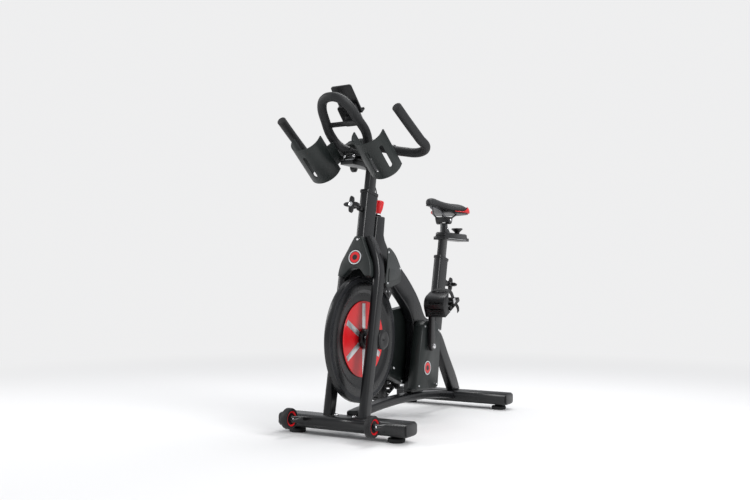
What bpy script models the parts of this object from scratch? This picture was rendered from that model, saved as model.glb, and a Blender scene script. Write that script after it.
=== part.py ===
"""Indoor exercise bike with a front flywheel, a magnetic brake and a sliding saddle.

The bike is laid out in metres from the floor point below the flywheel's axle:
+X is the rider's left, -Y is forwards and +Z is up. One empty carries the whole
layout, so that the footprint's centre is the world's origin.
"""
import math

import bmesh
import bpy
from mathutils import Euler, Matrix, Vector

# ---------------------------------------------------------------- driving sizes
GAP = 0.0003                 # left between pieces that touch
RUN = 0.0015                 # left around pieces that slide or turn

BIKE_Y = -0.3170             # where the flywheel's axle stands in the world

FLYWHEEL_R = 0.230
FLYWHEEL_T = 0.024
AXLE_Z = 0.335
AXLE_R = 0.006
HUB_R = 0.037
HUB_T = 0.056
WEB_R = 0.180
WEB_T = 0.010
DISC_R = 0.138
DISC_T = 0.003

CRANK_LENGTH = 0.170
BB_Y = 0.403
BB_Z = 0.286
BB_R = 0.024
BB_HALF = 0.028
SPINDLE_R = 0.010
BELT_RATIO = 3.8
PULLEY_R = 0.0330
PULLEY_T = 0.012
BELT_X = -0.0420
BELT_T = 0.003
BELT_GAP = 0.0009            # clears the flats of the faceted pulleys
ARM_X = 0.0790
ARM_T = 0.016
ARM_W = 0.030
PEDAL_X = 0.1380
PEDAL_W = 0.088
PEDAL_L = 0.092
PEDAL_T = 0.020
CAGE_H = 0.062
CAGE_T = 0.004
CAGE_W = 0.086
CAGE_BEND = 0.040
CAGE_NOSE = 0.055             # the bend's centre, ahead of the spindle
CAGE_SOLE = 0.012             # the cage's sole, below the spindle
CAGE_LIP = 0.018              # where the cage's top ends, ahead of the spindle

BAR_WIDTH = 0.516            # the stabilisers' length across the bike
BAR_D = 0.084
BAR_H = 0.048
BAR_Z = 0.046
FRONT_BAR_Y = -0.1105
REAR_BAR_Y = 0.7680
FRONT_FOOT_X = 0.2056
REAR_FOOT_X = 0.2146
FOOT_R = 0.030
FOOT_H = 0.014
STUD_R = 0.005

WHEEL_R = 0.037
WHEEL_T = 0.024
WHEEL_X = 0.1692
WHEEL_Y = -0.2120
WHEEL_Z = 0.0624

TUBE_W = 0.034               # head tube and seat tube, across the bike
TUBE_D = 0.080
TUBE_WALL = 0.003
POST_W = 0.025
POST_D = 0.052
HEAD_LEAN = math.radians(10.7)
SEAT_LEAN = math.radians(12.5)
HEAD_TOP = (0.0500, 0.8640)      # y and z at the centre of the head tube's mouth
HEAD_LENGTH = 0.262
SEAT_TOP = (0.6510, 0.6380)
SEAT_LENGTH = 0.300
COLLAR_H = 0.012
COLLAR_LIP = 0.003

LEG_X = 0.0733
LEG_W = 0.032
LEG_D = 0.050
BEAM_W = 0.040
BASE_W = 0.050
BASE_T = 0.030

COVER_IN = 0.0225            # where the left cover's open side starts
COVER_OUT = 0.0660
COVER_WALL = 0.003
GUARD_BB_R = 0.160
GUARD_AXLE_R = 0.068
GUARD_IN = -0.0190
GUARD_OUT = -0.0560
GUARD_WALL = 0.0025

BAR_R = 0.0170               # handlebar tubes with their rubber
BARS_Z = 0.9640              # top of the handlebar post
TRACK_L = 0.212
TRACK_W = 0.052
TRACK_T = 0.016
CRADLE_L = 0.165
CRADLE_T = 0.005

SEAT_Z = 0.7290              # top of the seat post
RAIL_L = 0.250
RAIL_W = 0.054
RAIL_T = 0.014
SADDLE_L = 0.250
SADDLE_W = 0.172
SADDLE_Z = 0.8980

# ------------------------------------------------------------------- the scene
for old in list(bpy.data.objects):
    bpy.data.objects.remove(old, do_unlink=True)

PARTS = bpy.data.collections.new("exercise_bike")
GUIDES = bpy.data.collections.new("exercise_bike_guides")
bpy.context.scene.collection.children.link(PARTS)
bpy.context.scene.collection.children.link(GUIDES)

BIKE = bpy.data.objects.new("bike_layout", None)
BIKE.location = (0.0, BIKE_Y, 0.0)
PARTS.objects.link(BIKE)

ACROSS = (math.radians(90), 0.0, math.radians(90))    # an outline in Y and Z


def finish(name, colour, roughness, metallic=0.0):
    """A Principled material."""
    material = bpy.data.materials.new(name)
    material.use_nodes = True
    shader = material.node_tree.nodes["Principled BSDF"]
    shader.inputs["Base Color"].default_value = (*colour, 1.0)
    shader.inputs["Roughness"].default_value = roughness
    shader.inputs["Metallic"].default_value = metallic
    return material


FRAME_PAINT = finish("frame_paint", (0.045, 0.048, 0.052), 0.45)
SHROUD = finish("shroud_plastic", (0.035, 0.040, 0.040), 0.60)
BLACK = finish("black_plastic", (0.015, 0.015, 0.016), 0.50)
GRIP = finish("grip_rubber", (0.030, 0.032, 0.034), 0.75)
RED = finish("red_plastic", (0.60, 0.02, 0.02), 0.40)
STEEL = finish("bright_steel", (0.70, 0.70, 0.71), 0.25, 1.0)
IRON = finish("flywheel_iron", (0.040, 0.042, 0.045), 0.40, 0.3)
CUSHION = finish("saddle_cover", (0.028, 0.030, 0.032), 0.55)


def add(name, data, material, place=(0, 0, 0), turn=(0, 0, 0)):
    """One sub-part, placed in the bike's layout."""
    part = bpy.data.objects.new(name, data)
    part.location = place
    part.rotation_euler = turn
    part.parent = BIKE
    if material is not None:
        data.materials.append(material)
    PARTS.objects.link(part)
    return part


def as_guide(part):
    """A cutter or a sweep's section, which is not a sub-part."""
    PARTS.objects.unlink(part)
    GUIDES.objects.link(part)
    part.hide_render = True
    part.display_type = "WIRE"
    return part


def modifier(part, kind, **settings):
    new = part.modifiers.new(kind.title(), kind)
    for key, value in settings.items():
        setattr(new, key, value)
    return new


def soften(part, width, segments=2, angle=40):
    """Weld the caps and round the edges."""
    modifier(part, "WELD", merge_threshold=0.00005)
    modifier(part, "BEVEL", width=width, segments=segments, limit_method="ANGLE",
             angle_limit=math.radians(angle))
    return part


def cut(part, *cutters):
    for cutter in cutters:
        modifier(part, "BOOLEAN", operation="DIFFERENCE", object=cutter, solver="EXACT")
    return part


def join(part, *others):
    for other in others:
        modifier(part, "BOOLEAN", operation="UNION", object=other, solver="EXACT")
    return part


def baked(part):
    """A curve sub-part as a mesh with the same place, so that it can be cut."""
    bpy.context.view_layer.update()
    graph = bpy.context.evaluated_depsgraph_get()
    mesh = bpy.data.meshes.new_from_object(part.evaluated_get(graph))
    shape = bmesh.new()
    shape.from_mesh(mesh)
    bmesh.ops.remove_doubles(shape, verts=shape.verts, dist=0.00002)
    bmesh.ops.recalc_face_normals(shape, faces=shape.faces)
    shape.to_mesh(mesh)
    shape.free()
    name = part.name
    home = part.users_collection[0]
    solid = bpy.data.objects.new(name + "_solid", mesh)
    home.objects.link(solid)
    solid.parent = BIKE
    solid.matrix_world = part.matrix_world.copy()
    solid.hide_render = part.hide_render
    solid.display_type = part.display_type
    bpy.data.objects.remove(part, do_unlink=True)
    solid.name = name
    return solid


def block(name, size, place, material, turn=(0, 0, 0), round_edge=0.0, segments=2):
    shape = bmesh.new()
    bmesh.ops.create_cube(shape, size=1.0)
    bmesh.ops.scale(shape, vec=Vector(size), verts=shape.verts)
    mesh = bpy.data.meshes.new(name)
    shape.to_mesh(mesh)
    shape.free()
    part = add(name, mesh, material, place, turn)
    if round_edge:
        modifier(part, "BEVEL", width=round_edge, segments=segments, limit_method="ANGLE")
    return part


def rod(name, radius, length, place, material, turn=(0, 0, 0), sides=20, top=None):
    """A round bar along its own Z, smooth round its side."""
    shape = bmesh.new()
    bmesh.ops.create_cone(shape, cap_ends=True, segments=sides, radius1=radius,
                          radius2=radius if top is None else top, depth=length)
    mesh = bpy.data.meshes.new(name)
    shape.to_mesh(mesh)
    shape.free()
    mesh.shade_smooth()
    mesh.set_sharp_from_angle(angle=math.radians(40))
    return add(name, mesh, material, place, turn)


def turned(name, profile, place, material, turn=(0, 0, 0), steps=32):
    """A closed profile of (radius, height), top to bottom down its outer side."""
    shape = bmesh.new()
    corners = [shape.verts.new((radius, 0.0, height)) for radius, height in profile]
    for first, second in zip(corners, corners[1:]):
        shape.edges.new((first, second))
    if profile[0][0] > 0:
        shape.edges.new((corners[-1], corners[0]))
    mesh = bpy.data.meshes.new(name)
    shape.to_mesh(mesh)
    shape.free()
    part = add(name, mesh, material, place, turn)
    modifier(part, "SCREW", steps=steps, render_steps=steps, angle=math.tau, axis="Z",
             use_merge_vertices=True, merge_threshold=0.00005, use_smooth_shade=True)
    return part


def arc(centre, radius, start, stop, steps):
    """Points round a centre, in degrees."""
    points = []
    for step in range(steps + 1):
        angle = math.radians(start + (stop - start) * step / steps)
        points.append((centre[0] + radius * math.cos(angle),
                       centre[1] + radius * math.sin(angle)))
    return points


def rounded(width, depth, radius, steps=3):
    """A rectangle with round corners, about its centre."""
    points = []
    for quarter, (side, end) in enumerate(((1, 1), (-1, 1), (-1, -1), (1, -1))):
        corner = (side * (width / 2 - radius), end * (depth / 2 - radius))
        points += arc(corner, radius, 90 * quarter, 90 * quarter + 90, steps)
    return points


def outline(name, loops, thickness, place, material, turn=(0, 0, 0)):
    """A flat outline, with any holes, that is extruded both ways."""
    curve = bpy.data.curves.new(name, "CURVE")
    curve.dimensions = "2D"
    curve.fill_mode = "BOTH"
    curve.extrude = thickness / 2
    for loop in loops:
        spline = curve.splines.new("POLY")
        spline.points.add(len(loop) - 1)
        for point, (across, up) in zip(spline.points, loop):
            point.co = (across, up, 0.0, 1.0)
        spline.use_cyclic_u = True
    return add(name, curve, material, place, turn)


def sweep(name, route, radius, material, place=(0, 0, 0), steps=4, fine=3, section=None):
    """A tube on a smooth route, round or with a section of its own."""
    curve = bpy.data.curves.new(name, "CURVE")
    curve.dimensions = "3D"
    curve.fill_mode = "FULL"
    curve.resolution_u = steps
    curve.use_fill_caps = True
    curve.twist_mode = "Z_UP"
    spline = curve.splines.new("BEZIER")
    spline.bezier_points.add(len(route) - 1)
    for point, position in zip(spline.bezier_points, route):
        point.co = position
        point.handle_left_type = "AUTO"
        point.handle_right_type = "AUTO"
    if section is None:
        curve.bevel_depth = radius
        curve.bevel_resolution = fine
    else:
        curve.bevel_mode = "OBJECT"
        curve.bevel_object = section
    return add(name, curve, material, place)


def section_guide(name, width, depth, radius, steps=2):
    """A closed 2D outline that a sweep carries along its route."""
    guide = outline(name, [rounded(width, depth, radius, steps)], 0.0, (0, 0, 0), None)
    guide.data.fill_mode = "NONE"
    return as_guide(guide)


def along(lean, distance):
    """A step up a tube that leans to the rear, as (y, z)."""
    return (distance * math.sin(lean), distance * math.cos(lean))


def leaning(name, loops, length, top, lean, material):
    """A tube whose upper end's centre is at top, leaning to the rear."""
    drop = along(lean, -length / 2)
    place = (0.0, top[0] + drop[0], top[1] + drop[1])
    return outline(name, loops, length, place, material, (-lean, 0.0, 0.0))


# ------------------------------------------------------------------ stabilisers
STUD_HOLE_H = 0.030
BAR_TOP = BAR_Z + BAR_H / 2
BAR_BOTTOM = BAR_Z - BAR_H / 2
FOOT_PLACES = {
    "front_left": (FRONT_FOOT_X, FRONT_BAR_Y),
    "front_right": (-FRONT_FOOT_X, FRONT_BAR_Y),
    "rear_left": (REAR_FOOT_X, REAR_BAR_Y),
    "rear_right": (-REAR_FOOT_X, REAR_BAR_Y),
}


def stabilizer(name, y):
    bar = outline(name, [rounded(BAR_D, BAR_H, 0.013, 3)], BAR_WIDTH, (0, y, BAR_Z),
                  FRAME_PAINT, ACROSS)
    return baked(bar)


front_stabilizer = stabilizer("front_stabilizer", FRONT_BAR_Y)
rear_stabilizer = stabilizer("rear_stabilizer", REAR_BAR_Y)

for corner, (x, y) in FOOT_PLACES.items():
    bar = front_stabilizer if corner.startswith("front") else rear_stabilizer
    hole = as_guide(rod("stud_hole_" + corner, STUD_R + GAP, STUD_HOLE_H,
                        (x, y, BAR_BOTTOM), None, sides=12))
    cut(bar, hole)
    neck = BAR_BOTTOM - 0.002
    stud_top = BAR_BOTTOM + 0.012
    turned("leveling_foot_" + corner,
           [(0.0, stud_top), (STUD_R, stud_top), (STUD_R, neck), (0.014, neck),
            (0.019, FOOT_H), (FOOT_R - 0.002, FOOT_H), (FOOT_R, FOOT_H - 0.002),
            (FOOT_R, 0.0), (0.0, 0.0)], (x, y, 0.0), BLACK, steps=16)

# -------------------------------------------------------------- transport wheels
BRACKET_CHEEK = 0.004
BRACKET_W = WHEEL_T + 2 * (RUN + BRACKET_CHEEK)
BAR_FRONT = FRONT_BAR_Y - BAR_D / 2

for side, sign in (("left", 1), ("right", -1)):
    x = sign * WHEEL_X
    reach = BAR_FRONT - WHEEL_Y
    cheek = arc((0.0, 0.0), 0.013, 110, 290, 6)
    cheek += [(reach - 0.004, -0.026), (reach + 0.010, -0.026), (reach + 0.010, 0.0)]
    bracket = as_guide(baked(outline("wheel_bracket_" + side, [cheek], BRACKET_W,
                                     (x, WHEEL_Y, WHEEL_Z), None, ACROSS)))
    slot = as_guide(rod("wheel_slot_" + side, WHEEL_R + 0.003, WHEEL_T + 2 * RUN,
                        (x, WHEEL_Y, WHEEL_Z), None, (0, math.radians(90), 0), 32))
    bore = as_guide(rod("wheel_bore_" + side, 0.0043, BRACKET_W + 0.01,
                        (x, WHEEL_Y, WHEEL_Z), None, (0, math.radians(90), 0), 12))
    cut(bracket, slot, bore)
    join(front_stabilizer, bracket)
    half = WHEEL_T / 2
    end = BRACKET_W / 2 + 0.003
    turned("transport_wheel_" + side,
           [(0.0, end), (0.004, end), (0.004, half), (0.033, half), (WHEEL_R, half - 0.005),
            (WHEEL_R, 0.005 - half), (0.033, -half), (0.004, -half), (0.004, -end),
            (0.0, -end)],
           (x, WHEEL_Y, WHEEL_Z), GRIP, (0, math.radians(90), 0), 24)

# --------------------------------------------------------------- head tube, posts
TUBE_LOOP = rounded(TUBE_W, TUBE_D, 0.011, 3)
TUBE_HOLE = rounded(TUBE_W - 2 * TUBE_WALL, TUBE_D - 2 * TUBE_WALL, 0.009, 3)
POST_LOOP = rounded(POST_W, POST_D, 0.008, 2)
TUBE_SPACE = rounded(TUBE_W + 2 * GAP, TUBE_D + 2 * GAP, 0.011, 3)
COLLAR_HOLE = rounded(POST_W + 2 * RUN, POST_D + 2 * RUN, 0.009, 2)
PIN_HOLE_R = 0.0075

head_tube = baked(leaning("head_tube", [TUBE_LOOP, TUBE_HOLE], HEAD_LENGTH, HEAD_TOP,
                          HEAD_LEAN, FRAME_PAINT))
seat_tube = baked(leaning("seat_tube", [TUBE_LOOP, TUBE_HOLE], SEAT_LENGTH, SEAT_TOP,
                          SEAT_LEAN, FRAME_PAINT))


def collar(name, top, lean):
    """A plastic sleeve on the tube's mouth that the post slides in."""
    lip = along(lean, COLLAR_H + GAP)
    loops = [rounded(TUBE_W + 2 * COLLAR_LIP, TUBE_D + 2 * COLLAR_LIP, 0.013, 3),
             COLLAR_HOLE]
    return leaning(name, loops, COLLAR_H, (top[0] + lip[0], top[1] + lip[1]), lean, BLACK)


collar("head_tube_collar", HEAD_TOP, HEAD_LEAN)
collar("seat_tube_collar", SEAT_TOP, SEAT_LEAN)

# The height knobs pull a pin out of the post, square to the tube.
KNOB_REACH = 0.072
KNOB_R = 0.031
KNOB_T = 0.014
STEM_R = 0.0065


def star(lobes, outer, inner, steps=4):
    """A knob's outline with round lobes."""
    points = []
    for step in range(lobes * 2 * steps):
        angle = math.tau * step / (lobes * 2 * steps)
        wave = 0.5 + 0.5 * math.cos(lobes * angle)
        radius = inner + (outer - inner) * wave ** 1.5
        points.append((radius * math.cos(angle), radius * math.sin(angle)))
    return points


def height_knob(name, tube, top, lean, facing, drop):
    """A four-lobed pull knob on its threaded boss; facing is -1 forwards, 1 rearwards."""
    down = along(lean, -drop)
    wall = facing * TUBE_D / 2
    out = (facing * math.cos(lean), -facing * math.sin(lean))
    centre = (0.0, top[0] + down[0], top[1] + down[1])
    turn = (math.radians(90) * -facing - lean, 0.0, 0.0)

    def at(distance):
        return (0.0, centre[1] + out[0] * (abs(wall) + distance),
                centre[2] + out[1] * (abs(wall) + distance))

    hole = as_guide(rod(name + "_hole", PIN_HOLE_R, 0.02, at(0.0), None, turn, 16))
    cut(tube, hole)
    knob = outline(name, [star(4, KNOB_R, 0.012)], KNOB_T, at(KNOB_REACH), BLACK, turn)
    soften(knob, 0.003, 1)
    knob = baked(knob)
    stem = as_guide(turned(name + "_stem",
                           [(0.0, 0.006), (0.011, 0.006), (0.011, -0.016),
                            (STEM_R, -0.020), (STEM_R, -KNOB_REACH), (0.0, -KNOB_REACH)],
                           at(KNOB_REACH), None, turn, 16))
    join(knob, stem)


height_knob("handlebar_height_knob", head_tube, HEAD_TOP, HEAD_LEAN, -1, 0.066)
height_knob("seat_height_knob", seat_tube, SEAT_TOP, SEAT_LEAN, 1, 0.084)

# ------------------------------------------------------------------ fork and shroud
FORK_LEAN = math.radians(11.5)
LEG_FOOT_Z = BAR_TOP + GAP
LEG_FOOT_Y = -0.104


def leg_point(x, z):
    return (x, LEG_FOOT_Y + (z - LEG_FOOT_Z) * math.tan(FORK_LEAN), z)


leg_section = section_guide("leg_section", LEG_W, LEG_D, 0.010, 1)
head_space = as_guide(baked(leaning("head_space", [TUBE_SPACE], HEAD_LENGTH + 2 * GAP,
                                    HEAD_TOP, HEAD_LEAN, None)))
floor_cut = as_guide(block("leg_floor", (0.4, 0.4, 0.1),
                           (0, FRONT_BAR_Y, LEG_FOOT_Z - 0.05), None))
AXLE_HOUSING_R = 0.0355
AXLE_HOUSING_T = 0.030
HOUSING_X = 0.0585 + AXLE_HOUSING_T / 2

for side, sign in (("left", 1), ("right", -1)):
    route = [leg_point(sign * x, z) for x, z in
             ((LEG_X, 0.055), (LEG_X, 0.220), (LEG_X, 0.400), (LEG_X, 0.520),
              (0.0715, 0.575), (0.0590, 0.625), (0.0390, 0.665), (0.0180, 0.700))]
    leg = baked(sweep("fork_leg_" + side, route, 0.0, FRAME_PAINT, section=leg_section,
                      steps=3))
    cut(leg, head_space, floor_cut)

    housing = as_guide(rod("axle_housing_" + side, AXLE_HOUSING_R, AXLE_HOUSING_T,
                           (sign * HOUSING_X, 0.0, AXLE_Z), None,
                           (0, math.radians(90), 0), 28))
    axle_space = as_guide(rod("axle_space_" + side, AXLE_R + GAP, 0.060,
                              (sign * 0.0585, 0.0, AXLE_Z), None,
                              (0, math.radians(90), 0), 16))
    join(leg, housing)
    cut(leg, axle_space)

# The front shroud is a thin arched cap on the legs, over the top of the flywheel.
SHROUD_T = 0.028
SHROUD_GAP = 0.001
shroud_right = [(0.0, 0.700), (0.014, 0.698), (0.026, 0.675), (0.040, 0.645), (0.060, 0.605),
                (0.067, 0.575), (0.069, 0.550), (0.046, 0.550), (0.034, 0.565),
                (0.022, 0.580), (0.0, 0.583)]
shroud_loop = shroud_right + [(-x, z) for x, z in reversed(shroud_right[1:-1])]
shroud_face = -LEG_D / 2 / math.cos(FORK_LEAN) - SHROUD_GAP - SHROUD_T / 2
shroud_mid = 0.610
slope = math.tan(FORK_LEAN)
fork_shroud = outline("fork_shroud", [[(x, (z - shroud_mid) / math.cos(FORK_LEAN))
                                       for x, z in shroud_loop]], SHROUD_T,
                      (0.0, leg_point(0, shroud_mid)[1] + shroud_face, shroud_mid), SHROUD,
                      (math.radians(90) - FORK_LEAN, 0, 0))
soften(fork_shroud, 0.006, 1)
fork_shroud = baked(fork_shroud)
cut(fork_shroud, head_space)

# Side panels close the gap between the fork legs and the main beam.
PANEL_T = 0.004
PANEL_X = 0.0955
PANEL_TURN = math.radians(16.0)
PANEL_LOOP = [(0.022, 0.524), (0.190, 0.534), (0.238, 0.545), (0.252, 0.562), (0.244, 0.592),
              (0.226, 0.608), (0.170, 0.640), (0.110, 0.660), (0.060, 0.668), (0.046, 0.650),
              (0.036, 0.600)]
for side, sign in (("left", 1), ("right", -1)):
    panel = outline("side_panel_" + side,
                    [[(y / math.cos(PANEL_TURN), z) for y, z in PANEL_LOOP]], PANEL_T,
                    (sign * PANEL_X, 0.0, 0.0), SHROUD,
                    (math.radians(90), 0.0, math.radians(90) + sign * PANEL_TURN))
    soften(panel, 0.0015, 1)

# ------------------------------------------------------------------ main beam, BB
BASE_FRONT = FRONT_BAR_Y + BAR_D / 2 + GAP
BASE_REAR = REAR_BAR_Y - BAR_D / 2 - GAP


def base_top(y):
    """The arch's upper edge."""
    middle = (BASE_FRONT + BASE_REAR) / 2 - 0.06
    half = (BASE_REAR - BASE_FRONT) / 2 + 0.06
    return 0.1010 - 0.0350 * abs((y - middle) / half) ** 2.0


def head_rear(z, extra=GAP):
    """The y of the head tube's rear face at a height."""
    up = (z - HEAD_TOP[1]) * math.tan(HEAD_LEAN)
    return HEAD_TOP[0] + up + (TUBE_D / 2 + extra) / math.cos(HEAD_LEAN)


CAP_Z = 0.788
COLUMN_FRONT = 0.345
COLUMN_REAR = 0.448
column_foot = []
for step in range(5):
    y = COLUMN_REAR + (COLUMN_FRONT - COLUMN_REAR) * step / 4
    column_foot.append((y, base_top(y) + 2 * GAP))
beam_loop = [(head_rear(CAP_Z), CAP_Z), (0.138, CAP_Z), (0.129, 0.735), (0.125, 0.700),
             (0.134, 0.682), (0.175, 0.652), (0.240, 0.612), (0.320, 0.556), (0.385, 0.500),
             (0.425, 0.455), (0.448, 0.420), (0.470, 0.395), (0.515, 0.385), (0.551, 0.380),
             (0.541, 0.335), (0.528, 0.300), (0.480, 0.255), (0.462, 0.200),
             *column_foot, (0.358, 0.200), (0.366, 0.300),
             (0.366, 0.360), (0.350, 0.405), (0.304, 0.451), (0.250, 0.492),
             (0.208, 0.523), (0.150, 0.562), (0.100, 0.590), (head_rear(0.612), 0.612)]
main_beam = outline("main_beam", [beam_loop], BEAM_W, (0, 0, 0), FRAME_PAINT, ACROSS)
soften(main_beam, 0.008, 1, 50)
main_beam = baked(main_beam)
bb_shell = as_guide(rod("bottom_bracket_shell", BB_R, 2 * BB_HALF, (0, BB_Y, BB_Z), None,
                        (0, math.radians(90), 0), 32))
bb_bore = as_guide(rod("bottom_bracket_bore", SPINDLE_R + RUN, 0.2, (0, BB_Y, BB_Z), None,
                       (0, math.radians(90), 0), 24))
join(main_beam, bb_shell)
cut(main_beam, bb_bore)

seat_space = as_guide(baked(leaning("seat_space", [TUBE_SPACE], SEAT_LENGTH + 2 * GAP,
                                       SEAT_TOP, SEAT_LEAN, None)))
cut(main_beam, seat_space)

# The rear leg runs from the seat tube's lower end to the rear stabiliser.
rear_leg_loop = [(0.5475, 0.3420), (0.6150, 0.3280), (0.6400, 0.3000), (0.6900, 0.2300),
                 (0.7600, 0.1400), (0.8030, BAR_TOP + GAP), (0.7330, BAR_TOP + GAP),
                 (0.7050, 0.1100), (0.6560, 0.1800), (0.6000, 0.2600), (0.5620, 0.3050)]
rear_leg = outline("rear_leg", [rear_leg_loop], TUBE_W, (0, 0, 0), FRAME_PAINT, ACROSS)
soften(rear_leg, 0.006, 1, 50)
rear_leg = baked(rear_leg)
cut(rear_leg, seat_space)

# The base beam is a low arch between the stabilisers.
BASE_STEPS = 16
base_upper = []
for step in range(BASE_STEPS + 1):
    y = BASE_FRONT + (BASE_REAR - BASE_FRONT) * step / BASE_STEPS
    base_upper.append((y, base_top(y)))
base_loop = base_upper + [(y, z - BASE_T) for y, z in reversed(base_upper)]
base_beam = outline("base_beam", [base_loop], BASE_W, (0, 0, 0), FRAME_PAINT, ACROSS)
soften(base_beam, 0.006, 1, 50)
base_beam = baked(base_beam)

# ---------------------------------------------------------------------- flywheel
SIDEWAYS = (0, math.radians(90), 0)
rim = FLYWHEEL_T / 2
web = WEB_T / 2
hub = HUB_T / 2
turned("flywheel",
       [(AXLE_R + RUN, hub - 0.012), (HUB_R - 0.006, hub - 0.012), (HUB_R - 0.006, web),
        (WEB_R - 0.012, web), (WEB_R, rim), (FLYWHEEL_R - 0.002, rim),
        (FLYWHEEL_R, rim - 0.002), (FLYWHEEL_R, 0.002 - rim), (FLYWHEEL_R - 0.002, -rim),
        (WEB_R, -rim), (WEB_R - 0.012, -web), (HUB_R - 0.006, -web),
        (HUB_R - 0.006, -0.018), (AXLE_R + RUN, -0.018)],
       (0, 0, AXLE_Z), IRON, SIDEWAYS, 40)
disc_x = web + GAP + DISC_T / 2
turned("flywheel_disc",
       [(HUB_R - 0.006 + GAP, DISC_T / 2), (DISC_R, DISC_T / 2), (DISC_R, -DISC_T / 2),
        (HUB_R - 0.006 + GAP, -DISC_T / 2)],
       (disc_x, 0, AXLE_Z), RED, SIDEWAYS, 32)
cap_end = hub
turned("flywheel_hub_cap",
       [(AXLE_R + RUN, cap_end), (HUB_R - 0.004, cap_end), (HUB_R, cap_end - 0.004),
        (HUB_R, disc_x + DISC_T / 2 + GAP), (HUB_R - 0.006 + GAP, disc_x + DISC_T / 2 + GAP),
        (HUB_R - 0.006 + GAP, hub - 0.012 + GAP), (AXLE_R + RUN, hub - 0.012 + GAP)],
       (0, 0, AXLE_Z), BLACK, SIDEWAYS, 28)
pulley_half = PULLEY_T / 2 + 0.002
turned("flywheel_pulley",
       [(PULLEY_R + 0.003, pulley_half), (PULLEY_R + 0.003, pulley_half - 0.002 + GAP),
        (PULLEY_R, pulley_half - 0.002 + GAP), (PULLEY_R, -pulley_half),
        (AXLE_R + RUN, -pulley_half), (AXLE_R + RUN, -0.018 - BELT_X - GAP),
        (0.016, -0.018 - BELT_X - GAP), (0.016, pulley_half)],
       (BELT_X, 0, AXLE_Z), STEEL, SIDEWAYS, 28)
rod("flywheel_axle", AXLE_R, 0.164, (0, 0, AXLE_Z), STEEL, SIDEWAYS, 16)

# ------------------------------------------------------------ belt, crank, pedals
CRANK_PULLEY_R = PULLEY_R * BELT_RATIO
turned("crank_pulley",
       [(CRANK_PULLEY_R, PULLEY_T / 2), (CRANK_PULLEY_R, -PULLEY_T / 2),
        (CRANK_PULLEY_R - 0.010, -PULLEY_T / 2), (CRANK_PULLEY_R - 0.012, -0.002),
        (SPINDLE_R + GAP, -0.002), (SPINDLE_R + GAP, PULLEY_T / 2), (0.022, PULLEY_T / 2),
        (0.024, 0.002), (CRANK_PULLEY_R - 0.012, 0.002),
        (CRANK_PULLEY_R - 0.010, PULLEY_T / 2)],
       (BELT_X, BB_Y, BB_Z), BLACK, SIDEWAYS, 36)

AXLE_SPAN = math.hypot(BB_Y, BB_Z - AXLE_Z)
AXLE_TILT = math.degrees(math.atan2(AXLE_Z - BB_Z, BB_Y))


def belt_loop(front_r, rear_r, steps):
    """The path round both pulleys, in Y and Z."""
    tilt = 180 - AXLE_TILT
    spread = math.degrees(math.asin((rear_r - front_r) / AXLE_SPAN))
    front = arc((0.0, AXLE_Z), front_r, tilt - 90 + spread, tilt + 90 - spread, steps)
    rear = arc((BB_Y, BB_Z), rear_r, tilt + 90 - spread, tilt + 270 + spread, steps * 2)
    return front + rear


outline("drive_belt",
        [belt_loop(PULLEY_R + BELT_GAP + BELT_T, CRANK_PULLEY_R + BELT_GAP + BELT_T, 12),
         belt_loop(PULLEY_R + BELT_GAP, CRANK_PULLEY_R + BELT_GAP, 12)],
        PULLEY_T - 0.001, (BELT_X, 0, 0), GRIP, ACROSS)

rod("crank_spindle", SPINDLE_R, 2 * (ARM_X - ARM_T / 2) - 2 * GAP, (0, BB_Y, BB_Z), STEEL,
    SIDEWAYS, 20)

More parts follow.
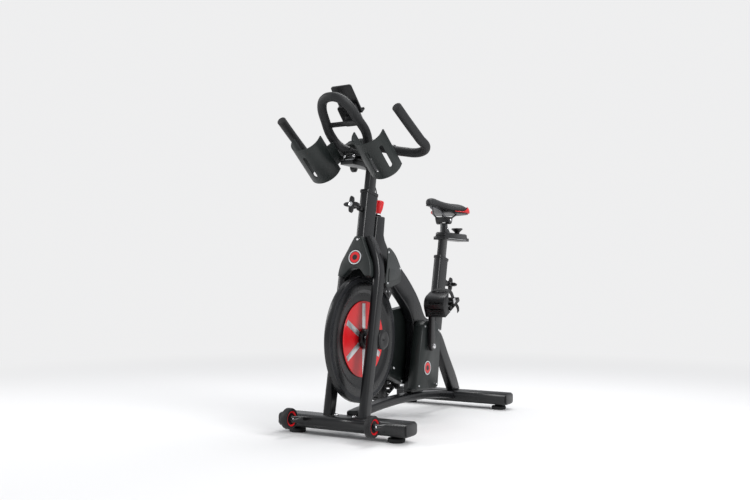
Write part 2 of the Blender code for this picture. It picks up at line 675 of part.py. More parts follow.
PEDAL_SPINDLE_R = 0.0065
PEDAL_TILT = math.radians(25)        # the toe hangs down
PEDAL_IN = PEDAL_X - PEDAL_W / 2
cage_rear = -PEDAL_L / 2 - GAP
pedal_turn = (Matrix.Rotation(PEDAL_TILT, 3, "X") @ Euler(ACROSS).to_matrix()).to_euler()
for side, sign in (("left", 1), ("right", -1)):
    arm_half = ARM_W / 2
    eye = arc((0.0, sign * CRANK_LENGTH), arm_half * 0.8, 0 if sign > 0 else 180,
              180 if sign > 0 else 360, 8)
    boss = arc((0.0, 0.0), arm_half * 1.25, 180 if sign > 0 else 0,
               360 if sign > 0 else 180, 8)
    arm = outline("crank_arm_" + side, [eye + boss], ARM_T,
                  (sign * ARM_X, BB_Y, BB_Z), BLACK, ACROSS)
    soften(arm, 0.003, 1, 50)
    arm = baked(arm)
    spindle = as_guide(rod("pedal_spindle_" + side, PEDAL_SPINDLE_R,
                           PEDAL_X + PEDAL_W / 2 - 0.012 - ARM_X,
                           (sign * (PEDAL_X + PEDAL_W / 2 - 0.012 + ARM_X) / 2, BB_Y,
                            BB_Z + sign * CRANK_LENGTH), None, SIDEWAYS, 16))
    nut = as_guide(rod("arm_nut_" + side, 0.010, 0.012,
                       (sign * (ARM_X + ARM_T / 2 + 0.003), BB_Y, BB_Z), None, SIDEWAYS, 16))
    join(arm, spindle, nut)

    pedal_z = BB_Z + sign * CRANK_LENGTH
    body = outline("pedal_" + side, [rounded(PEDAL_L, PEDAL_T, 0.006, 2)], PEDAL_W,
                   (sign * PEDAL_X, BB_Y, pedal_z), BLACK, pedal_turn)
    body = baked(body)
    bore = as_guide(rod("pedal_bore_" + side, PEDAL_SPINDLE_R + RUN, PEDAL_W - 0.008,
                        (sign * (PEDAL_X - 0.006), BB_Y, pedal_z), None, SIDEWAYS, 16))
    cut(body, bore)

    # The toe cage is a cup that is open to the rear and at the sole.
    outer = arc((-CAGE_NOSE, CAGE_H - CAGE_BEND), CAGE_BEND, 180, 90, 8)
    inner = arc((-CAGE_NOSE, CAGE_H - CAGE_BEND), CAGE_BEND - CAGE_T, 90, 180, 8)
    toe = [(cage_rear, -CAGE_SOLE), (-CAGE_NOSE - CAGE_BEND, -CAGE_SOLE)] + outer
    toe += [(-CAGE_LIP, CAGE_H), (-CAGE_LIP, CAGE_H - CAGE_T)] + inner
    toe += [(CAGE_T - CAGE_NOSE - CAGE_BEND, CAGE_T - CAGE_SOLE),
            (cage_rear, CAGE_T - CAGE_SOLE)]
    outline("toe_cage_" + side, [toe], CAGE_W, (sign * PEDAL_X, BB_Y, pedal_z), BLACK,
            pedal_turn)

# ------------------------------------------------------------------------ covers
guard_outer = belt_loop(GUARD_AXLE_R, GUARD_BB_R, 12)
guard_inner = belt_loop(GUARD_AXLE_R - GUARD_WALL, GUARD_BB_R - GUARD_WALL, 12)
wall_in = GUARD_IN - GUARD_WALL
cup = baked(outline("belt_cover_outer", [guard_outer], wall_in - GAP - GUARD_OUT,
                    ((wall_in - GAP + GUARD_OUT) / 2, 0, 0), SHROUD, ACROSS))
hollow = as_guide(baked(outline("guard_hollow", [guard_inner],
                                wall_in - GUARD_OUT, (wall_in / 2 + GUARD_OUT / 2
                                                      + GUARD_WALL, 0, 0), None, ACROSS)))
spindle_space = as_guide(rod("spindle_space", SPINDLE_R + RUN, 0.3, (0, BB_Y, BB_Z), None,
                             SIDEWAYS, 20))
axle_clear = as_guide(rod("axle_clear", AXLE_R + RUN, 0.3, (0, 0, AXLE_Z), None, SIDEWAYS,
                          16))
cut(cup, hollow, spindle_space, axle_clear)

inner_plate = baked(outline("belt_cover_inner", [guard_outer], GUARD_WALL,
                            (GUARD_IN - GUARD_WALL / 2, 0, 0), SHROUD, ACROSS))
hub_clear = as_guide(rod("hub_clear", 0.020, 0.05, (GUARD_IN, 0, AXLE_Z), None, SIDEWAYS, 20))
beam_space = as_guide(baked(outline("beam_space", [beam_loop], BEAM_W + 2 * GAP, (0, 0, 0),
                                    None, ACROSS)))
shell_space = as_guide(rod("shell_space", BB_R + GAP, 0.2, (0, BB_Y, BB_Z), None, SIDEWAYS,
                           24))
cut(inner_plate, hub_clear, beam_space, shell_space)

# The left cover is a box on the column, open towards it.
cover_loop = [(0.2960, 0.1240), (0.3120, 0.1180), (0.4700, 0.1100), (0.4850, 0.1180),
              (0.5060, 0.2600), (0.5100, 0.3300), (0.4950, 0.3700), (0.4650, 0.3860),
              (0.3800, 0.3860), (0.3560, 0.3720)]
cover_t = COVER_OUT - COVER_IN
left_cover = outline("left_cover", [cover_loop], cover_t, ((COVER_OUT + COVER_IN) / 2, 0, 0),
                     SHROUD, ACROSS)
soften(left_cover, 0.004, 1, 30)
left_cover = baked(left_cover)
cover_mid = (0.401, 0.248)
shrink = 0.955
cover_hollow = as_guide(baked(outline("cover_hollow",
                                      [[(cover_mid[0] + (y - cover_mid[0]) * shrink,
                                         cover_mid[1] + (z - cover_mid[1]) * shrink)
                                        for y, z in cover_loop]], cover_t,
                                      ((COVER_OUT + COVER_IN) / 2 - COVER_WALL, 0, 0), None,
                                      ACROSS)))
cut(left_cover, cover_hollow, spindle_space)

# ------------------------------------------------------------- magnetic brake
brake_base = (0.1160, CAP_Z + GAP)
brake_turn = (-HEAD_LEAN, 0.0, 0.0)
ROD_R = 0.0045
ROD_HOLE_H = 0.030
rod_space = as_guide(rod("rod_space", ROD_R + RUN, 2 * ROD_HOLE_H,
                         (0, brake_base[0], CAP_Z), None, brake_turn, 16))
cut(main_beam, rod_space)
ROD_TOP = 0.0330
turned("brake_rod",
       [(0.0, ROD_TOP), (ROD_R, ROD_TOP), (ROD_R, -0.016), (0.0, -0.016)],
       (0, brake_base[0], brake_base[1]), STEEL, brake_turn, 16)
knob_up = along(HEAD_LEAN, ROD_TOP - 0.010 + GAP)
turned("resistance_knob",
       [(0.0, 0.038), (0.015, 0.038), (0.0170, 0.035), (0.0150, 0.010), (0.012, 0.0),
        (0.008, -0.012), (ROD_R + GAP, -0.012), (ROD_R + GAP, 0.010), (0.0, 0.010)],
       (0, brake_base[0] + knob_up[0], brake_base[1] + knob_up[1]), RED, brake_turn, 24)

# The magnet carrier straddles the rim and swings on a pin in the main beam.
CARRIER_ANGLE = math.radians(48)
CARRIER_Y = FLYWHEEL_R * math.cos(CARRIER_ANGLE)
CARRIER_Z = AXLE_Z + FLYWHEEL_R * math.sin(CARRIER_ANGLE)
carrier_turn = (CARRIER_ANGLE, 0, 0)
carrier = block("magnet_carrier", (FLYWHEEL_T + 2 * 0.008, 0.036, 0.060),
                (0, CARRIER_Y, CARRIER_Z), STEEL, carrier_turn, 0.001, 1)
rim_space = as_guide(block("rim_space", (FLYWHEEL_T + 2 * 0.003, 0.100, 0.090),
                           (0, CARRIER_Y - 0.0406 * math.cos(CARRIER_ANGLE),
                            CARRIER_Z - 0.0406 * math.sin(CARRIER_ANGLE)), None,
                           carrier_turn))
cut(carrier, rim_space)

# ---------------------------------------------------------------- handlebar post
POST_UP = BARS_Z - HEAD_TOP[1]
POST_IN = 0.180
post_top_y = HEAD_TOP[0] + POST_UP * math.tan(HEAD_LEAN)
post_len = (POST_UP + POST_IN) / math.cos(HEAD_LEAN)
post = baked(leaning("handlebar_post", [POST_LOOP], post_len, (post_top_y, BARS_Z),
                     HEAD_LEAN, FRAME_PAINT))
TRACK_Y = 0.0000
track = as_guide(block("track", (TRACK_W, TRACK_L, TRACK_T), (0, TRACK_Y, BARS_Z + TRACK_T / 2
                                                               - 0.004), None))
join(post, track)

SLIDE_Z = BARS_Z + TRACK_T - 0.004 + GAP
SLIDE_L = 0.150
SLIDE_T = 0.018
slide = block("handlebar_slide", (0.048, SLIDE_L, SLIDE_T),
              (0, TRACK_Y - 0.012, SLIDE_Z + SLIDE_T / 2), FRAME_PAINT, (0, 0, 0), 0.003, 1)
STEM_Z = SLIDE_Z + SLIDE_T
clamp = as_guide(block("bar_clamp", (0.070, 0.085, 0.026),
                       (0, -0.030, STEM_Z + 0.011), None))
join(slide, clamp)

# Both bars and the centre loop are rubber-covered tubes.
BAR_ROUTE = [(0.2406, -0.1700, 1.1290), (0.2450, -0.1000, 1.0870), (0.2500, -0.0200, 1.0410),
             (0.2520, 0.0200, 1.0180), (0.2240, 0.0380, 1.0060), (0.1500, 0.0260, 1.0120),
             (0.0800, 0.0100, 1.0280), (0.0, 0.0040, 1.0330)]
LOOP_ROUTE = [(0.0280, -0.0480, 1.0170), (0.0560, -0.0600, 1.0330), (0.0730, -0.0880, 1.0640),
              (0.0660, -0.1420, 1.1140), (0.0500, -0.1880, 1.1600), (0.0280, -0.2060, 1.1770),
              (0.0, -0.2110, 1.1820)]


def mirrored(route):
    """A half route from its outer end to the middle, and out to the other side."""
    return route + [(-x, y, z) for x, y, z in reversed(route[:-1])]


handlebar = baked(sweep("handlebar", mirrored(BAR_ROUTE), BAR_R, GRIP, steps=2, fine=2))
loop_bar = baked(sweep("center_loop", mirrored(LOOP_ROUTE), BAR_R, GRIP, steps=2, fine=2))
bar_space = as_guide(baked(sweep("bar_space", mirrored(BAR_ROUTE), BAR_R + GAP, None, steps=2,
                                 fine=2)))
LOOP_SPACE_ROUTE = [(0.0272, -0.0477, 1.0166)] + LOOP_ROUTE[1:]
loop_space = as_guide(baked(sweep("loop_space", mirrored(LOOP_SPACE_ROUTE), BAR_R + GAP, None,
                                  steps=2, fine=2)))
cut(slide, bar_space, loop_space)
cut(loop_bar, bar_space)

BRACKET_Y = -0.1280
BRACKET_Z = 1.1010
BRACKET_LEAN = math.radians(35)
crossbar = as_guide(block("console_bracket", (0.120, 0.022, 0.006),
                          (0, BRACKET_Y, BRACKET_Z), None, (-BRACKET_LEAN, 0, 0)))
arm = as_guide(block("console_arm", (0.030, 0.052, 0.006),
                     (0, BRACKET_Y + 0.029, BRACKET_Z + 0.008), None,
                     (math.radians(16), 0, 0)))
join(loop_bar, crossbar, arm)

# Dumbbell cradles are open troughs under the bars.
CRADLE_SLOPE = math.radians(38)
CRADLE_MID = (0.1285, -0.1100, 0.9990)
CRADLE_R = 0.060


def trough(width, wall, depth):
    """A U-shaped wall: round at the bottom, with its lips at the top."""
    outside = arc((0, 0), width / 2, 180, 360, 12)
    inside = arc((0, 0), width / 2 - wall, 360, 180, 12)
    return ([(-width / 2, depth)] + outside + [(width / 2, depth), (width / 2 - wall, depth)]
            + inside + [(-width / 2 + wall, depth)])


for side, sign in (("left", 1), ("right", -1)):
    place = (sign * CRADLE_MID[0], CRADLE_MID[1], CRADLE_MID[2])
    turn = (math.radians(90) - CRADLE_SLOPE, 0.0, 0.0)
    cradle = baked(outline("dumbbell_cradle_" + side, [trough(2 * CRADLE_R, CRADLE_T, 0.012)],
                           CRADLE_L, place, SHROUD, turn))
    for index, swing in enumerate((0, 55 * sign)):
        slot = as_guide(baked(outline("cradle_slot_%s_%d" % (side, index),
                                      [rounded(0.014, 0.100, 0.0065, 3)], 0.06, (0, 0, 0),
                                      None)))
        out = Matrix.Rotation(math.radians(swing), 4, "Z") @ Matrix.Translation(
            (0, -CRADLE_R, 0)) @ Matrix.Rotation(math.radians(90), 4, "X")
        bpy.context.view_layer.update()
        slot.matrix_world = cradle.matrix_world @ out
        cut(cradle, slot)

# ------------------------------------------------- console and its tablet rest
CONSOLE_LEAN = math.radians(45)
CONSOLE_MID = (-0.0884, 1.1515)
CONSOLE_T = 0.026
CONSOLE_TURN = (-CONSOLE_LEAN, 0.0, 0.0)


def on_console(across, up, out):
    """A place on the console: across it, up its face and out of the rider's side."""
    y = CONSOLE_MID[0] - up * math.sin(CONSOLE_LEAN) + out * math.cos(CONSOLE_LEAN)
    z = CONSOLE_MID[1] + up * math.cos(CONSOLE_LEAN) + out * math.sin(CONSOLE_LEAN)
    return (across, y, z)


console = block("console", (0.072, 0.086, CONSOLE_T), on_console(0, -0.012, 0), BLACK,
                CONSOLE_TURN, 0.004, 1)
BUTTON_R = 0.005
BUTTON_H = 0.004
for side, sign in (("left", 1), ("right", -1)):
    pocket = as_guide(rod("button_pocket_" + side, BUTTON_R + GAP, 0.006,
                          on_console(sign * 0.018, -0.045, CONSOLE_T / 2), None,
                          CONSOLE_TURN, 12))
    cut(console, pocket)
    rod("console_button_" + side, BUTTON_R, BUTTON_H,
        on_console(sign * 0.018, -0.045, CONSOLE_T / 2 + 0.0005), RED, CONSOLE_TURN, 12)

REST_W = 0.084
REST_L = 0.118
REST_T = 0.008
REST_UP = 0.040
rest_out = CONSOLE_T / 2 + GAP + REST_T / 2
tablet_rest = block("tablet_rest", (REST_W, REST_L, REST_T), on_console(0, REST_UP, rest_out),
                    BLACK, CONSOLE_TURN, 0.002, 1)
ledge = as_guide(block("rest_ledge", (REST_W, 0.006, 0.024),
                       on_console(0, REST_UP - REST_L / 2 + 0.003, rest_out + 0.010), None,
                       CONSOLE_TURN))
join(tablet_rest, ledge)

# ---------------------------------------------------------------- sliding knobs
REACH_KNOB = (-0.050, 0.028, BARS_Z + TRACK_T / 2 - 0.004)
turned("handlebar_reach_knob",
       [(0.0, 0.012), (0.014, 0.012), (0.018, 0.009), (0.018, -0.003), (0.013, -0.006),
        (0.007, -0.010), (0.007, -0.050 + TRACK_W / 2 + 0.012 + GAP),
        (0.0, -0.050 + TRACK_W / 2 + 0.012 + GAP)],
       REACH_KNOB, BLACK, (0, math.radians(-90), 0), 20)

# ------------------------------------------------------------------ seat post
SEAT_POST_IN = 0.190
seat_top_y = SEAT_TOP[0] + (SEAT_Z - SEAT_TOP[1]) * math.tan(SEAT_LEAN)
seat_post_len = (SEAT_Z - SEAT_TOP[1] + SEAT_POST_IN) / math.cos(SEAT_LEAN)
seat_post = baked(leaning("seat_post", [POST_LOOP], seat_post_len, (seat_top_y, SEAT_Z),
                          SEAT_LEAN, FRAME_PAINT))
RAIL_Y = 0.7580
seat_track = as_guide(block("seat_track", (RAIL_W, RAIL_L, RAIL_T),
                            (0, RAIL_Y, SEAT_Z + RAIL_T / 2 - 0.004), None))
join(seat_post, seat_track)

CARRIAGE_Z = SEAT_Z + RAIL_T - 0.004 + GAP
CARRIAGE_T = 0.019
CARRIAGE_L = 0.226
PILLAR_Y = 0.6800
PILLAR_TOP = 0.7980
carriage_loop = [(-0.0260, 0.0), (0.0260, 0.0), (0.0225, 0.006), (0.0225, 0.014),
                 (0.0165, CARRIAGE_T), (-0.0165, CARRIAGE_T), (-0.0225, 0.014),
                 (-0.0225, 0.006)]
carriage = baked(outline("seat_carriage", [carriage_loop], CARRIAGE_L,
                         (0, RAIL_Y, CARRIAGE_Z), FRAME_PAINT, (math.radians(90), 0, 0)))
pillar_loop = [(PILLAR_Y - 0.014, CARRIAGE_Z + 0.014), (PILLAR_Y + 0.042, CARRIAGE_Z + 0.014),
               (PILLAR_Y + 0.014, CARRIAGE_Z + 0.042), (PILLAR_Y + 0.012, PILLAR_TOP),
               (PILLAR_Y - 0.012, PILLAR_TOP)]
pillar = as_guide(baked(outline("saddle_pillar", [pillar_loop], 0.024, (0, 0, 0), None,
                                ACROSS)))
join(carriage, pillar)

REACH_Z = CARRIAGE_Z + CARRIAGE_T + GAP
turned("seat_reach_knob",
       [(0.0, 0.024), (0.024, 0.024), (0.026, 0.020), (0.012, 0.007), (0.010, 0.0),
        (0.0, 0.0)],
       (0, RAIL_Y + 0.056, REACH_Z), BLACK, (0, 0, 0), 24)

# --------------------------------------------------------------------- saddle
TILT_Z = 0.8120
clamp_loop = arc((PILLAR_Y, TILT_Z), 0.019, 200, 340, 6) + [(PILLAR_Y + 0.024, TILT_Z + 0.012),
                                                           (PILLAR_Y - 0.024, TILT_Z + 0.012)]
saddle_clamp = baked(outline("saddle_clamp", [clamp_loop], 0.062, (0, 0, 0), BLACK, ACROSS))
pillar_clear = as_guide(block("pillar_clear", (0.024 + 2 * RUN, 0.060, 0.034),
                              (0, PILLAR_Y, PILLAR_TOP - 0.013), None))
cut(saddle_clamp, pillar_clear)

RAIL_WIRE = 0.0035
RAIL_X = 0.022
RAIL_HALF = [(0.0420, 0.7440, 0.8480), (0.0300, 0.7320, 0.8340), (RAIL_X, 0.7040, 0.8215),
             (RAIL_X, 0.6560, 0.8215), (RAIL_X, 0.6250, 0.8330), (0.0120, 0.5960, 0.8520),
             (0.0, 0.5650, 0.8580)]
RAIL_SPACE_HALF = [(0.0424, 0.7444, 0.8485)] + RAIL_HALF[1:]
sweep("saddle_rails", mirrored(RAIL_HALF), RAIL_WIRE, STEEL, steps=2, fine=2)
rail_space = as_guide(baked(sweep("rail_space", mirrored(RAIL_SPACE_HALF), RAIL_WIRE + GAP,
                                  None, steps=2, fine=2)))
cut(saddle_clamp, rail_space)

# The saddle is a shell that is lofted from nose to tail: half width, top and sole.
SADDLE_NOSE_Y = 0.5250
SADDLE_STATIONS = [(0.00, 0.10, -0.012, 0.024), (0.04, 0.20, -0.003, 0.036),
                   (0.14, 0.25, 0.000, 0.038), (0.30, 0.31, -0.005, 0.036),
                   (0.46, 0.42, -0.010, 0.038), (0.62, 0.68, -0.014, 0.042),
                   (0.78, 0.94, -0.014, 0.048), (0.92, 1.00, -0.014, 0.052),
                   (1.00, 0.72, -0.022, 0.046)]


def saddle_ring(share, wide, top, deep):
    """One section of the saddle, level along its sole."""
    y = SADDLE_NOSE_Y + share * SADDLE_L
    half = wide * SADDLE_W / 2
    crown = SADDLE_Z + top
    sole = SADDLE_Z + top - deep
    return [(-half, y, sole + 0.004), (-half * 0.98, y, crown - deep * 0.42),
            (-half * 0.62, y, crown - deep * 0.08), (0.0, y, crown),
            (half * 0.62, y, crown - deep * 0.08), (half * 0.98, y, crown - deep * 0.42),
            (half, y, sole + 0.004), (half * 0.86, y, sole), (0.0, y, sole + 0.004),
            (-half * 0.86, y, sole)]


shape = bmesh.new()
rings = []
for station in SADDLE_STATIONS:
    rings.append([shape.verts.new(point) for point in saddle_ring(*station)])
for front_ring, rear_ring in zip(rings, rings[1:]):
    count = len(front_ring)
    for index in range(count):
        after = (index + 1) % count
        shape.faces.new((front_ring[index], front_ring[after], rear_ring[after],
                         rear_ring[index]))
shape.faces.new(list(reversed(rings[0])))
shape.faces.new(rings[-1])
bmesh.ops.recalc_face_normals(shape, faces=shape.faces)
saddle_mesh = bpy.data.meshes.new("saddle")
shape.to_mesh(saddle_mesh)
shape.free()
saddle_mesh.shade_smooth()
saddle = add("saddle", saddle_mesh, CUSHION)
cut(saddle, rail_space)

# ----------------------------------------------------- console lead to the frame
LEAD_R = 0.0022
TRACK_UNDER = BARS_Z - 0.004 - GAP
LEAD_ROUTE = [(-0.0120, 0.0990, TRACK_UNDER), (-0.0130, 0.1000, 0.9460),
              (-0.0180, 0.1150, 0.9200), (-0.0240, 0.1420, 0.8880), (-0.0270, 0.1540, 0.8580),
              (-0.0260, 0.1500, 0.8300), (-0.0200, 0.1380, 0.8080), (-0.0145, 0.1290, 0.7970),
              (-0.0140, 0.1270, CAP_Z + GAP)]
sweep("console_lead", LEAD_ROUTE, LEAD_R, GRIP, steps=3, fine=1)
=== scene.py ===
# %% [markdown]
# # An indoor exercise bike with a front flywheel
#
# The bike is a welded steel frame on two stabilisers, with a heavy flywheel between its
# fork legs, a belt drive under a plastic guard, a saddle and handlebars on sliding posts,
# and a small console. The moving frame comes from the CAD model; this script makes the
# surfaces that are seen. Everything is in metres: +X is the rider's left, -Y is forwards.

# %% Load the frame
import math

import bpy
from mathutils import Matrix, Vector


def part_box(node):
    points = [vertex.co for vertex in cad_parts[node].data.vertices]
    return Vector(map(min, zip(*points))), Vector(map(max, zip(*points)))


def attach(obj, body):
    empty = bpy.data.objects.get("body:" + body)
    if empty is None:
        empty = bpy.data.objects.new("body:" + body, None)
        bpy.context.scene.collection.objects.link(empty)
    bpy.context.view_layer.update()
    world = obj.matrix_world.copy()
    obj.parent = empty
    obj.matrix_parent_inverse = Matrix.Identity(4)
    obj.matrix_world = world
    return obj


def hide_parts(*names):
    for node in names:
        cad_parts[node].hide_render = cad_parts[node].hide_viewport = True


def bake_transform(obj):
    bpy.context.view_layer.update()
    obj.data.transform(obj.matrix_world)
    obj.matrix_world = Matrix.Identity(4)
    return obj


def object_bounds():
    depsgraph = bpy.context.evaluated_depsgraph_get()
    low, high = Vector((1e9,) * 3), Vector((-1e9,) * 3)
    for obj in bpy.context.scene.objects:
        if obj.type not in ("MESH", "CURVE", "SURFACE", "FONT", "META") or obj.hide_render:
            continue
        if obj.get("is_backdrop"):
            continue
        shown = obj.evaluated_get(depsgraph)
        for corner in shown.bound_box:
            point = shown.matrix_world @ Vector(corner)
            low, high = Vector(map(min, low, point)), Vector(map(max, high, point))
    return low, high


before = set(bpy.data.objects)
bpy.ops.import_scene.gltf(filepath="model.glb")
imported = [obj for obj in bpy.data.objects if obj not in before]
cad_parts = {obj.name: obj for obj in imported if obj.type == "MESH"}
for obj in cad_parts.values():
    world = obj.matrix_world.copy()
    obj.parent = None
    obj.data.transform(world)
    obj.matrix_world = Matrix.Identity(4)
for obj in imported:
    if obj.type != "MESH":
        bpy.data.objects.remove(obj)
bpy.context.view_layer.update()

axle_low, axle_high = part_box("flywheel")
AXLE = (axle_low + axle_high) / 2
print("axle at", [round(v, 4) for v in AXLE], "and", len(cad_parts), "CAD nodes")

# %% [markdown]
# ## Working by hand
#
# Each piece is made the way it would be at the keyboard: select one object, go into edit
# mode, extrude or spin, and come back. These few helpers only save typing those steps.

# %% Selecting, and going in and out of edit mode
def only(piece):
    """Select one piece and nothing else."""
    bpy.ops.object.select_all(action="DESELECT")
    piece.select_set(True)
    bpy.context.view_layer.objects.active = piece


def from_points(name, points, edges=(), faces=()):
    mesh = bpy.data.meshes.new(name)
    mesh.from_pydata([tuple(point) for point in points], list(edges), list(faces))
    piece = bpy.data.objects.new(name, mesh)
    bpy.context.scene.collection.objects.link(piece)
    only(piece)
    return piece


def closed_up(piece):
    """Merge doubled points and turn every face outwards."""
    only(piece)
    bpy.ops.object.mode_set(mode="EDIT")
    bpy.ops.mesh.select_all(action="SELECT")
    bpy.ops.mesh.remove_doubles(threshold=0.00001)
    bpy.ops.mesh.normals_make_consistent(inside=False)
    bpy.ops.object.mode_set(mode="OBJECT")
    return piece


def at(x, y, z):
    """A place measured from the floor point below the axle."""
    return Vector((x, y + AXLE.y, z))


print("the axle's own place by this measure:", tuple(at(0, 0, AXLE.z)))

# %% [markdown]
# Outlines are drawn as points. An arc gives pulleys and cups, a rounded rectangle gives
# drawn steel tube, and a smooth line through a few points gives the long curves that a
# bent tube or a moulding has.

# %% Arcs, rounded rectangles and smooth lines
def arc(centre, radius, start, stop, steps):
    points = []
    for step in range(steps + 1):
        angle = math.radians(start + (stop - start) * step / steps)
        points.append((centre[0] + radius * math.cos(angle),
                       centre[1] + radius * math.sin(angle)))
    return points


def rounded(width, depth, radius, steps=6):
    points = []
    for quarter, (side, end) in enumerate(((1, 1), (-1, 1), (-1, -1), (1, -1))):
        corner = (side * (width / 2 - radius), end * (depth / 2 - radius))
        points += arc(corner, radius, 90 * quarter, 90 * quarter + 90, steps)
    return points


def smooth(points, steps, closed=False):
    """A curve through every point, with steps points for each stretch."""
    points = [Vector(point) for point in points]
    count = len(points)
    found = []
    for index in range(count if closed else count - 1):
        if closed:
            a, b, c, d = (points[(index + k) % count] for k in (-1, 0, 1, 2))
        else:
            b, c = points[index], points[index + 1]
            a = points[index - 1] if index else b * 2 - c
            d = points[index + 2] if index + 2 < count else c * 2 - b
        for step in range(steps):
            t = step / steps
            found.append(0.5 * (2 * b + (c - a) * t + (2 * a - 5 * b + 4 * c - d) * t * t
                                + (3 * b - 3 * c + d - a) * t * t * t))
    if not closed:
        found.append(points[-1])
    return found


print("a rounded rectangle has", len(rounded(0.034, 0.080, 0.011)), "points")

# %% [markdown]
# The four ways of making a solid: extrude an outline, spin a profile, sweep a tube along a
# curve, and skin a row of rings. Bevels, cuts and joins are modifiers that are applied
# straight away, so that each finished piece is a plain mesh.

# %% Extrude, spin, sweep and skin
def slab(name, loop, step):
    """A flat outline of 3-D points, extruded by one step."""
    piece = from_points(name, loop, faces=[range(len(loop))])
    bpy.ops.object.mode_set(mode="EDIT")
    bpy.ops.mesh.select_all(action="SELECT")
    bpy.ops.mesh.extrude_region_move(TRANSFORM_OT_translate={"value": tuple(step)})
    bpy.ops.mesh.select_all(action="SELECT")
    bpy.ops.mesh.normals_make_consistent(inside=False)
    bpy.ops.object.mode_set(mode="OBJECT")
    return piece


def side_slab(name, outline, x_from, x_to):
    """An outline in Y and Z, extruded across the bike."""
    return slab(name, [at(x_from, y, z) for y, z in outline], (x_to - x_from, 0, 0))


def spun(name, profile, centre, axis, steps=96):
    """A profile of (radius, height) turned about an axis through the centre."""
    axis = Vector(axis).normalized()
    side = axis.orthogonal().normalized()
    points = [Vector(centre) + side * radius + axis * height for radius, height in profile]
    edges = [(index, index + 1) for index in range(len(points) - 1)]
    if profile[0][0] > 0:
        edges.append((len(points) - 1, 0))
    piece = from_points(name, points, edges)
    bpy.ops.object.mode_set(mode="EDIT")
    bpy.ops.mesh.select_all(action="SELECT")
    bpy.ops.mesh.spin(steps=steps, angle=math.tau, center=tuple(centre), axis=tuple(axis))
    bpy.ops.object.mode_set(mode="OBJECT")
    return closed_up(piece)


def swept(name, route, radius, between=8, around=6):
    """A round tube on a smooth route."""
    curve = bpy.data.curves.new(name, "CURVE")
    curve.dimensions = "3D"
    curve.resolution_u = between
    curve.bevel_depth = radius
    curve.bevel_resolution = around
    curve.use_fill_caps = True
    spline = curve.splines.new("BEZIER")
    spline.bezier_points.add(len(route) - 1)
    for point, position in zip(spline.bezier_points, route):
        point.co = position
        point.handle_left_type = "AUTO"
        point.handle_right_type = "AUTO"
    piece = bpy.data.objects.new(name, curve)
    bpy.context.scene.collection.objects.link(piece)
    only(piece)
    bpy.ops.object.convert(target="MESH")
    return closed_up(bpy.context.view_layer.objects.active)


def skinned(name, rings):
    """Rings of the same number of points, joined one to the next and closed at both ends."""
    count = len(rings[0])
    points = [point for ring in rings for point in ring]
    faces = [range(count), range(len(points) - count, len(points))]
    for row in range(len(rings) - 1):
        for index in range(count):
            after = (index + 1) % count
            faces.append((row * count + index, row * count + after,
                          (row + 1) * count + after, (row + 1) * count + index))
    return closed_up(from_points(name, points, faces=faces))


print("ways to make a solid: slab, spun, swept, skinned")

# %% [markdown]
# A modifier that is applied at once does what a hand would do with one menu. A bevel rounds
# the edges, a boolean cuts a hole or joins two solids, and a copy takes its own mesh along,
# so that each finished piece stands alone.

# %% Bevels, cuts and joins
def applied(piece, kind, **settings):
    only(piece)
    bpy.ops.object.modifier_add(type=kind)
    modifier = piece.modifiers[-1]
    for key, value in settings.items():
        setattr(modifier, key, value)
    bpy.ops.object.modifier_apply(modifier=modifier.name)
    return piece


def edged(piece, width, segments=3, angle=40):
    return applied(piece, "BEVEL", width=width, segments=segments, limit_method="ANGLE",
                   angle_limit=math.radians(angle))


def cut(piece, *cutters):
    for cutter in cutters:
        applied(piece, "BOOLEAN", operation="DIFFERENCE", object=cutter, solver="EXACT")
        bpy.data.objects.remove(cutter)
    return piece


def joined(piece, *others):
    for other in others:
        applied(piece, "BOOLEAN", operation="UNION", object=other, solver="EXACT")
        bpy.data.objects.remove(other)
    return piece


def copied(piece, name, matrix):
    """A copy with its own mesh, moved by a matrix."""
    twin = piece.copy()
    twin.data = piece.data.copy()
    twin.name = name
    bpy.context.scene.collection.objects.link(twin)
    twin.data.transform(matrix)
    return twin


def refined(node, name):
    """A merged copy of a CAD node's mesh, to be worked on further."""
    twin = bpy.data.objects.new(name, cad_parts[node].data.copy())
    bpy.context.scene.collection.objects.link(twin)
    return closed_up(twin)


def done(piece, material, body, *nodes, angle=35):
    """Give a piece its finish, let it ride on a body, and say how big it is."""
    only(piece)
    bpy.ops.object.transform_apply(location=True, rotation=True, scale=True)
    bpy.ops.object.shade_smooth_by_angle(angle=math.radians(angle))
    piece.data.materials.clear()
    piece.data.materials.append(material)
    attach(piece, body)
    if nodes:
        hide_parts(*nodes)
    size = " x ".join("%.0f" % (1000 * length) for length in piece.dimensions)
    print("%-28s %s mm, %d faces" % (piece.name, size, len(piece.data.polygons)))
    return piece


print("pieces will be listed as they are finished")

# %% [markdown]
# ## Finishes
#
# One recipe serves every hard surface: a broad noise shifts the colour and the roughness a
# little, as handling and moulding do, and a fine noise gives the grain of powder coat,
# moulded plastic or rubber as a bump. Edges are rubbed a touch lighter. The numbers differ.

